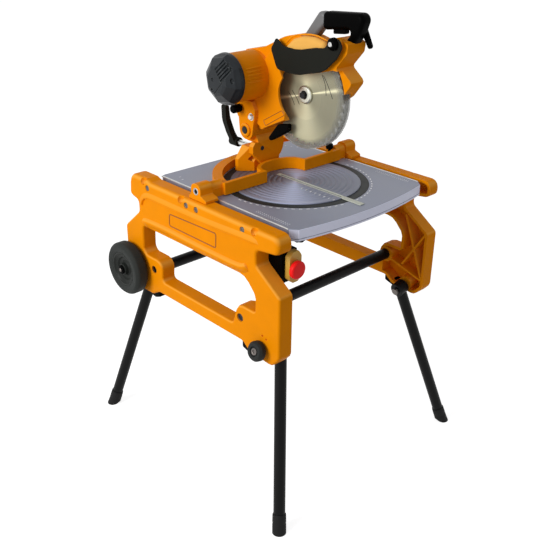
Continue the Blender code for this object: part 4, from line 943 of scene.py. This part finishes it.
def disc_half(side):
    """Half the disc beside the kerf: point (r, t) lies at radius r, t running along the arc between
    the two ends where |x| = KERF_HALF; the rim and the walls drop to the seat."""
    radius = np.concatenate([np.linspace(KERF_HALF + 0.02, 30, 8), np.arange(31, 164.1, 0.9), DISC_RIM])
    share = np.linspace(0, 1, 97)
    lean = np.arcsin(KERF_HALF / radius)[:, None]
    angle = -math.pi / 2 + lean + share[None] * (math.pi - 2 * lean)
    flat = np.stack([side * radius[:, None] * np.cos(angle), TURN_Y + radius[:, None] * np.sin(angle)], -1)
    upper = raised(flat, "Z", ring_height(radius[:, None], flat[..., 0]))
    lower = raised(flat, "Z", DISC_SEAT)
    rows, columns = flat.shape[:2]
    count = rows * columns
    faces = grid_faces(rows, columns)
    faces += [[corner + count for corner in face[::-1]] for face in grid_faces(rows, columns)]
    border = np.concatenate([
        np.arange(columns), np.arange(1, rows) * columns + columns - 1,
        (rows - 1) * columns + np.arange(columns - 2, -1, -1), np.arange(rows - 2, 0, -1) * columns,
    ])
    after = np.roll(border, -1)
    faces += np.stack([border, after, after + count, border + count], -1).tolist()
    return np.concatenate([upper.reshape(-1, 3), lower.reshape(-1, 3)]), faces


def disc_rear():
    """The strip of the disc behind the kerf, between x = -KERF_HALF and KERF_HALF."""
    radius = np.concatenate([np.arange(66, 164.1, 0.9), DISC_RIM])
    lean = np.arcsin((KERF_HALF - 0.02) / radius)[:, None]
    angle = math.pi / 2 + lean * np.linspace(-1, 1, 5)[None]
    flat = np.stack([radius[:, None] * np.cos(angle), TURN_Y + radius[:, None] * np.sin(angle)], -1)
    upper = raised(flat, "Z", ring_height(radius[:, None], flat[..., 0]))
    lower = raised(flat, "Z", DISC_SEAT)
    return lofted(np.concatenate([upper, lower[:, ::-1]], 1))


def kerf_floor():
    """The groove's floor under the strip, on both sides of the blade slot."""
    left = np.array([(-8.05, -227.0), (-4.5, -227.0), (-4.5, 6.2), (-8.05, 6.2)])
    return together(*(plate(side, "Z", DISC_SEAT, 757.4, 0.2, 1) for side in (left, left * (-1, 1))))


dress("mitre_disc", together(disc_half(-1), disc_half(1), disc_rear(), kerf_floor()), DISC, "mitre_deck", "table_grey",
      "turntable")
cast("kerf_insert", CREAM, 0.5, 2)
cast("bevel_trunnion", YELLOW, 2.5)

degrees = np.arange(-178, -1, 5.2)
degrees = degrees[np.abs(degrees + 90) > 5]
spokes = np.stack([np.cos(np.radians(degrees)), np.sin(np.radians(degrees))], -1)
around = np.stack([-spokes[:, 1], spokes[:, 0]], -1)
scale_marks = tiles(np.array([0, TURN_Y]) + spokes * 196.5, around, 8.0, 2.8, MARK_BASE, MARK_TOP)
rows = np.arange(-256, -149, 7.0)
rule = np.concatenate([np.stack([np.full_like(rows, x), rows], -1) for x in (-219, -213, 219, 213)])
rule_marks = tiles(rule, np.tile([[1.0, 0.0]], (len(rule), 1)), 2.6, 2.0, MARK_BASE, MARK_TOP)
rear = np.array([(191, 174), (199, 158), (207, 141), (220, 121), (-205, 160), (-212, 140)], float)
rear_marks = tiles(rear, np.tile([[1.0, 0.0]], (len(rear), 1)), 5.0, 2.2, MARK_BASE, MARK_TOP)
dress("table_marks", together(scale_marks, rule_marks, rear_marks), WHITE_MARK, "table", "table_grey")
steps = np.arange(-223, -110, 15.5)
guide = np.stack([np.full_like(steps, -31), steps], -1)
guide_marks = tiles(guide, np.tile([[1.0, 0.0]], (len(guide), 1)), 6.0, 2.4, 759.0, 760.15)
dress("kerf_marks", guide_marks, WHITE_MARK, "mitre_deck", "table_grey")


# Head

cast("tilt_bracket", YELLOW, 2.5)
pin = eased([(0, 57.6), (9.5, 57.6, 1), (9.5, 52.6), (9, 52.6), (9, -76), (13, -76), (13, -81, 1.5), (0, -81)], False)
dress("chop_pin", turned(pin, HINGE, -ALONG_X, 40), DARK_STEEL, "tilt", "steel", "hinge_pin")
collar = eased([(10, 51.5), (18, 51.5), (18, 56, 1.5), (13, 57.6, 1), (10, 56, 1)])
dress("hinge_collar", turned(collar, HINGE, -ALONG_X, 40, True), YELLOW, "tilt", "cast_yellow")
cast("bevel_lever", SHIELD, 4.0, 4)
sleeve = turned([(5, 109), (7.6, 109), (7.6, 158), (5, 158)], (0, 0, CLAMP_Z), ALONG_Y, 28, True)
dress("lever_sleeve", sleeve, STEEL, "bevel_lever_body", "steel")
dress("bracket_bolt", socket_screw((-19.5, 46, 824), -ALONG_Y, 6.0, -0.5, 1.4), DARK_STEEL, "tilt", "steel")
cast("saw_arm", YELLOW, 3.0, 4)
NAME_FIELD = [(20, 907, 3), (-46, 945, 3), (-56, 936, 3), (12, 895, 3)]
field = bar(raised(eased(NAME_FIELD), "X", -40.0), disc_section(0.9, 8), ALONG_X, True)
dress("arm_badge_rim", field, BADGE_LINE_BROWN, "head", "cast_yellow")
HOOD_RIM = [(-46, 1105), (-71, 1125), (-108, 1134), (-145, 1136), (-183, 1129)]
rim = bar(raised(smooth_line(HOOD_RIM, 50), "X", -30.0), disc_section(2.0, 10), ALONG_X, swell=faded(50))
HOOD = [(-52, 1075, 12), (-52, 1100, 12), (-76, 1121, 14), (-108, 1131, 30), (-145, 1133, 30), (-182, 1125, 13),
        (-176, 1080, 13), (-110, 1062, 20)]
hood = plate(eased(HOOD, step=6), "X", 28.0, 39.6, 11.0, 8, False)
dress("arm_hood_rim", rim, YELLOW, "head", "cast_yellow", crease=50)
# The hood takes the paler copy of the yellow: painted highlight.
dress("arm_hood", mirrored(hood, -1), HOOD_LIT_YELLOW, "head", "cast_yellow", crease=50)
LUG_BOLT = (0, 53, 911)
bolt_head = hexagon(LUG_BOLT, -ALONG_X, 13, 50, 58, 1.2)
bolt_shank = turned(rod_profile(9.5, 38, 52.8), LUG_BOLT, -ALONG_X, 28)
dress("arm_lug_bolt", together(bolt_head, bolt_shank), STEEL, "head", "steel")


def motor_can():
    """The motor housing: a tube of radius R + f(a, x), with five raised fins along it on the side
    towards the operator."""
    height = np.concatenate([[40.4], np.linspace(58, 64, 5), np.linspace(106, 112, 5), [120.0]])
    angle = np.radians(np.arange(0, 360, 1.0))[:, None]
    beyond = np.degrees(angle) - 90
    wave = np.clip(np.cos(np.radians((beyond + 1) * 360 / 7.6)) * 1.6, -0.2, 1)
    band = np.clip((height - 58) / 6, 0, 1) * np.clip((112 - height) / 6, 0, 1)
    fins = 1.5 * (wave + 0.2) * band * ((beyond > -5) & (beyond < 33))
    outer = 60.2 + np.where((beyond > -9) & (beyond < 37), fins, 0.0) + 0 * height
    u, v = square_to(-ALONG_X)
    spoke = np.cos(angle) * u + np.sin(angle) * v
    reach = np.concatenate([np.full_like(angle, 57), outer, np.full_like(angle, 57)], 1)
    along = np.concatenate([[40.4], height, [120.0]])
    points = np.asarray(MOTOR) + along[None, :, None] * -ALONG_X + reach[..., None] * spoke[:, None, :]
    return points.reshape(-1, 3), grid_faces(len(angle), len(along), True, True)


def soft_step(value, edge, width):
    """0 to 1 as a value passes an edge, over a width: t t (3 - 2 t)."""
    share = np.clip((value - edge) / width + 0.5, 0, 1)
    return share * share * (3 - 2 * share)


CAP_STEPS = 460


def motor_cap():
    """The vented end cap: a dome r(h) drawn towards an octagon at its face. Louvres, a seam and
    round holes sink it; they are set out on the cap's face plane as seen from the front left."""
    dome = eased([(57.5, 120.3), (63.5, 120.3, 1), (63.5, 132, 5), (57, 144, 6), (38, 158.5, 6), (30, 161, 3),
                  (0, 161.3)], False, 4)
    run = np.concatenate([[0], np.cumsum(np.linalg.norm(np.diff(dome, axis=0), axis=1))])
    even = np.linspace(0, run[-1], 150)
    line = np.stack([np.interp(even, run, dome[:, 0]), np.interp(even, run, dome[:, 1])], -1)
    angle = np.linspace(0, 2 * math.pi, CAP_STEPS, endpoint=False)[:, None]
    height = line[None, :, 1]
    corner = np.cos(math.pi / 8) / np.cos((angle + 0.2) % (math.pi / 4) - math.pi / 8)
    radius = line[None, :, 0] * (1 + (corner - 1) * np.clip((height - 124) / 16, 0, 1))
    y, z = -radius * np.sin(angle), -radius * np.cos(angle)
    y_seen = y - (161 - height) * 1.18
    z_seen = z + (161 - height) * 0.318
    along = -0.77 * y_seen + 0.63 * z_seen
    across = -0.63 * y_seen - 0.77 * z_seen
    phase = np.abs((across + 26.05) % 8 - 4)
    lengthwise = soft_step(along, 16, 3) * soft_step(63 - along, 0, 3)
    field = lengthwise * soft_step(across, -26, 1) * soft_step(14 - across, 0, 1)
    sink = 4.0 * field * soft_step(1.9 - phase, 0, 2.2)
    seam = np.abs(0.73 * (y_seen - 6) + 0.68 * (z_seen + 33))
    sink = sink + 1.4 * soft_step(1.2 - seam, 0, 2.0) * soft_step(along, -30, 4) * soft_step(30 - along, 0, 4)
    for y_hole, z_hole, reach in ((12, 2, 4), (13, -24, 4), (-59, 38, 4.5), (-50, 47, 4), (-62, 10, 6)):
        sink = np.maximum(sink, 4.0 * soft_step(reach - np.hypot(y_seen - y_hole, z_seen - z_hole), 0, 2.4))
    sink = sink * np.clip((height - 121) / 2, 0, 1)
    inward = np.clip(1 - sink / np.maximum(np.hypot(radius, height - 100), 1), 0, 1)
    u, v = square_to(-ALONG_X)
    spoke = np.cos(angle) * u + np.sin(angle) * v
    high = (100 + (height - 100) * inward)[..., None]
    points = np.asarray(MOTOR) + high * -ALONG_X + (radius * inward)[..., None] * spoke[:, None, :]
    return points.reshape(-1, 3), grid_faces(len(angle), line.shape[0], True)


# The motor can takes the darker copy of the yellow: painted shade.
dress("motor_can", motor_can(), CAN_SHADED_YELLOW, "head", "cast_yellow", "motor_housing")
cap_lining = turned([(57.5, 120.3), (57.5, 128), (49, 141), (30, 153), (0, 155.5)], MOTOR, -ALONG_X, CAP_STEPS)
dress("motor_cap", together(motor_cap(), cap_lining), MOTOR_GREY, "head", "motor_grey", "motor_end_cap", crease=75)
cast("belt_cover", YELLOW, 4.0, 4)
COVER_OUTER = 62.0
COVER_SCREWS = [(95, 1050), (92, 985), (-10, 1040), (-14, 970), (-118, 1018), (-122, 960)]
screws = [socket_screw((COVER_OUTER, *place), ALONG_X, 5.0, -0.5, 1.6) for place in COVER_SCREWS]
dress("cover_screws", together(*screws), DULL_STEEL, "head", "steel")
COVER_SLOTS = [(74, 1034), (75.5, 1026), (77, 1018), (78.5, 1010), (80, 1002)]
SLOT_SECTION = [(-0.8, -1.8), (0.8, -1.8), (0.8, 1.8), (-0.8, 1.8)]
slot_lines = [raised(np.array([(y, z), (y - 26.0, z - 5.4)]), "X", COVER_OUTER + 0.1) for y, z in COVER_SLOTS]
dress("cover_slots", together(*(bar(line, SLOT_SECTION, ALONG_X) for line in slot_lines)), DARK_STEEL, "head",
      "black_plastic")
cast("guard_shield", SHIELD, 1.8)
SHIELD_BOSS = (0, -214, 1129)
boss = eased([(0, 44), (14, 44), (14, 53, 3), (9, 57, 2), (0, 57)], False)
dress("shield_boss", turned(boss, SHIELD_BOSS, -ALONG_X, 40), BLACK, "head", "black_plastic")
dress("shield_bolt", socket_screw(SHIELD_BOSS, -ALONG_X, 5.5, 56, 59.5), STEEL, "head", "steel")

# The handle: corners of its two mouldings, rounder than their rims so that these can't fold over
BRACKET = [(-117.5, 1123.9), (-80, 1125.3), (-128.2, 1185.9, 12), (-150, 1185.9, 12), (-150, 1160, 10)]
dress("handle_strut", plate(eased(BRACKET, step=6), "X", -9.0, 19.0, 9.0, 8), STRUT_GREY, "head", "handle_grey",
      "handle_bracket", crease=50)
GRIP = [(-143, 1145.9, 11), (-143, 1187.2, 11), (-272, 1196.1, 16), (-256.4, 1153, 30), (-237.7, 1123.1),
        (-212.3, 1128.5), (-237.3, 1159.2, 8)]
TRIGGER_SLOT = np.array([(-2.5, -208.5), (12.5, -208.5), (12.5, -169.5), (-2.5, -169.5)])
slot = lofted([raised(TRIGGER_SLOT, "Z", 1140.0), raised(TRIGGER_SLOT, "Z", 1161.0)])
bore = turned(rod_profile(3.4, 9, 30), (0, -240, 1152), ALONG_X, 24)
grip = cut_into(meshed("grip", plate(eased(GRIP, step=6), "X", -12.0, 22.0, 10.0, 8)), together(slot, bore))
placed("handle_grip_moulding", grip, BLACK, "head", ("handle_grip",), 50)
cast("trigger", BLACK, 2.0)
cast("guard_lever", BLACK, 2.0)
cast("dust_chute", BLACK, 2.5)
lock = eased([(0, 38.5), (5, 38.5), (5, 56), (11, 57, 1.5), (11, 80, 3), (8, 83, 1), (0, 83)], False)
dress("lock_knob", turned(lock, (0, 92, 928), -ALONG_X, 32), BLACK, "head_lock_body", "black_plastic", "head_lock_pin")


def spring_wire():
    """The return spring: a wire along (x0 + pitch t, R cos 2 pi t, R sin 2 pi t) round the hinge pin."""
    turn = np.linspace(0, 4, 161)
    angle = 2 * math.pi * turn
    path = np.stack([55 + 4.4 * turn, HINGE[1] + 17 * np.cos(angle), HINGE[2] + 17 * np.sin(angle)], -1)
    return bar(path, disc_section(1.8, 12), ALONG_X)


dress("lift_spring", spring_wire(), STEEL, "head", "steel", "return_spring")
for node, finish in (("motor_stator", CORE), ("motor_armature", STEEL), ("drive_belt", BELT), ("arbor_spindle", STEEL)):
    slots = frame["nodes"][node].data.materials
    slots.clear()
    slots.append(finish)


# Blade and guard

TEETH = 36


def toothed_disc():
    """The blade: rings from the bore to a rim r(a) that rises along each tooth and drops into its
    gullet; the plate is 1.8 mm thick and the tips 2.6 mm."""
    share = np.array([0.0, 0.02, 0.10, 0.16, 0.24, 0.34, 0.5, 0.7, 0.9])
    reach = np.array([125.0, 124.8, 118.5, 116.6, 116.4, 117.6, 120.6, 122.8, 124.4])
    angle = (np.arange(TEETH)[:, None] + share[None]).reshape(-1) * 2 * math.pi / TEETH
    rim = np.tile(reach, TEETH)
    spoke = np.stack([np.zeros_like(angle), np.cos(angle), np.sin(angle)], -1)
    levels = [np.full_like(rim, radius) for radius in (15.0, 40.0, 80.0, 108.0)] + [rim]
    near = [np.asarray(ARBOR) - 0.9 * ALONG_X + r[:, None] * spoke for r in levels]
    far = [np.asarray(ARBOR) + 0.9 * ALONG_X + r[:, None] * spoke for r in levels[::-1]]
    return lofted(near + far, True)


def carbide_tips():
    """A small block let into the face of each tooth: eight corners turned round the arbor at once."""
    angle = np.arange(TEETH)[:, None] * 2 * math.pi / TEETH
    out, back = np.array([(118.6, 0.0), (125.0, 0.0), (124.6, 1.9), (118.6, 1.7)]).T
    y, z = out * np.cos(angle) + back * np.sin(angle), out * np.sin(angle) - back * np.cos(angle)
    flat = np.stack([ARBOR[1] + y, ARBOR[2] + z], -1)
    points = np.concatenate([raised(flat, "X", -1.3), raised(flat, "X", 1.3)], 1)
    faces = BLOCK_FACES[None] + 8 * np.arange(len(angle))[:, None, None]
    return points.reshape(-1, 3), faces.reshape(-1, 4).tolist()


dress("toothed_blade", toothed_disc(), BLADE_STEEL, "blade", "steel", "saw_blade", crease=30)
dress("carbide_tips", carbide_tips(), STEEL, "blade", "steel")
BLADE_SLOTS = [
    [(-140, 1043), (-152, 1020), (-156, 996)], [(-145, 1042), (-161, 1020), (-177, 992)],
    [(-29, 983), (-42, 968), (-51, 954)], [(-41, 989), (-58, 972), (-68, 958)],
]
slits = [bar(raised(smooth_line(line, 20), "X", 0.0), [(-1.0, -0.9), (1.0, -0.9), (1.0, 0.9), (-1.0, 0.9)], ALONG_X)
         for line in BLADE_SLOTS]
dress("blade_slits", together(*slits), DARK_STEEL, "blade", "steel")
flange = eased([(9.5, 1.7), (22, 1.7), (22, 6, 1), (19, 8.6, 1), (11, 9.4, 1), (9.5, 8)], True)
dress("blade_washer", turned(flange, ARBOR, -ALONG_X, 48, True), WASHER, "blade", "steel", "blade_flange")
dress("blade_bolt", together(turned(rod_profile(9.6, 2, 9), ARBOR, -ALONG_X, 32),
                             hexagon(ARBOR, -ALONG_X, 15, 8.6, 16.5)), DARK_STEEL, "blade", "steel")
cast("lower_guard", CLEAR, 0.8, 2)


# Floor, light and camera

def white_for_sight(net):
    """One for what is seen straight, mirrored or through glass; nought for light that bounces."""
    path = net.add("ShaderNodeLightPath").outputs
    seen = net.math("ADD", path["Is Camera Ray"], path["Is Glossy Ray"])
    return net.math("ADD", seen, path["Is Transmission Ray"], clamp=True)


def backdrop():
    """A wide floor that the camera, mirrors and glass see as white, with the object's shadow on it."""
    mesh = bpy.data.meshes.new("floor")
    corners = [(x, y, -0.0005) for x, y in ((-30, -30), (30, -30), (30, 30), (-30, 30))]
    mesh.from_pydata(corners, [], [(0, 1, 2, 3)])
    material, net, sockets = new_finish("floor_pale", roughness=1.0, specular_ior_level=0.0)
    sockets["Base Color"].default_value = (0.6, 0.6, 0.6, 1)
    sockets["Emission Color"].default_value = (1, 1, 1, 1)
    net.put(net.math("MULTIPLY", white_for_sight(net), 0.78), sockets["Emission Strength"])
    mesh.materials.append(material)
    floor = bpy.data.objects.new("floor", mesh)
    bpy.context.scene.collection.objects.link(floor)


def world_light():
    """A white world for what is seen straight, mirrored or through glass, and a soft grey light."""
    world = bpy.data.worlds.new("studio")
    bpy.context.scene.world = world
    world.use_nodes = True
    net = Net(world.node_tree)
    background = world.node_tree.nodes["Background"]
    net.put(net.span(white_for_sight(net), 0.0, 1.0, SKY, 1.0), background.inputs["Strength"])
    background.inputs["Color"].default_value = (1, 1, 1, 1)


def lamp(name, place, target, size, power):
    """A square soft light turned to a target, in metres and watts."""
    light = bpy.data.lights.new(name, "AREA")
    light.size = size
    light.energy = power
    holder = bpy.data.objects.new(name, light)
    bpy.context.scene.collection.objects.link(holder)
    holder.location = place
    holder.rotation_euler = (Vector(target) - Vector(place)).to_track_quat("-Z", "Y").to_euler()


def photo_camera():
    """The photograph's view: azimuth, downward tilt and roll in degrees from a place in metres."""
    azimuth, tilt, roll = (math.radians(value) for value in (43.76, 26.57, 0.79))
    ahead = Vector((math.sin(azimuth) * math.cos(tilt), math.cos(azimuth) * math.cos(tilt), -math.sin(tilt)))
    right = Vector((math.cos(azimuth), -math.sin(azimuth), 0))
    top = right.cross(ahead)
    across = right * math.cos(roll) + top * math.sin(roll)
    upright = top * math.cos(roll) - right * math.sin(roll)
    camera = bpy.data.cameras.new("photo_view")
    camera.sensor_width = 36
    camera.lens = 788.14 / 550 * 36
    holder = bpy.data.objects.new("photo_view", camera)
    bpy.context.scene.collection.objects.link(holder)
    turn = Matrix((across, upright, -ahead)).transposed().to_4x4()
    holder.matrix_world = Matrix.Translation((-1.371, -1.420, 1.450)) @ turn
    bpy.context.scene.camera = holder


backdrop()
world_light()
lamp("key", (-3.2, 0.4, 2.0), (0, 0, 0.75), 1.6, 78)
photo_camera()
bpy.context.scene.view_settings.view_transform = "Standard"
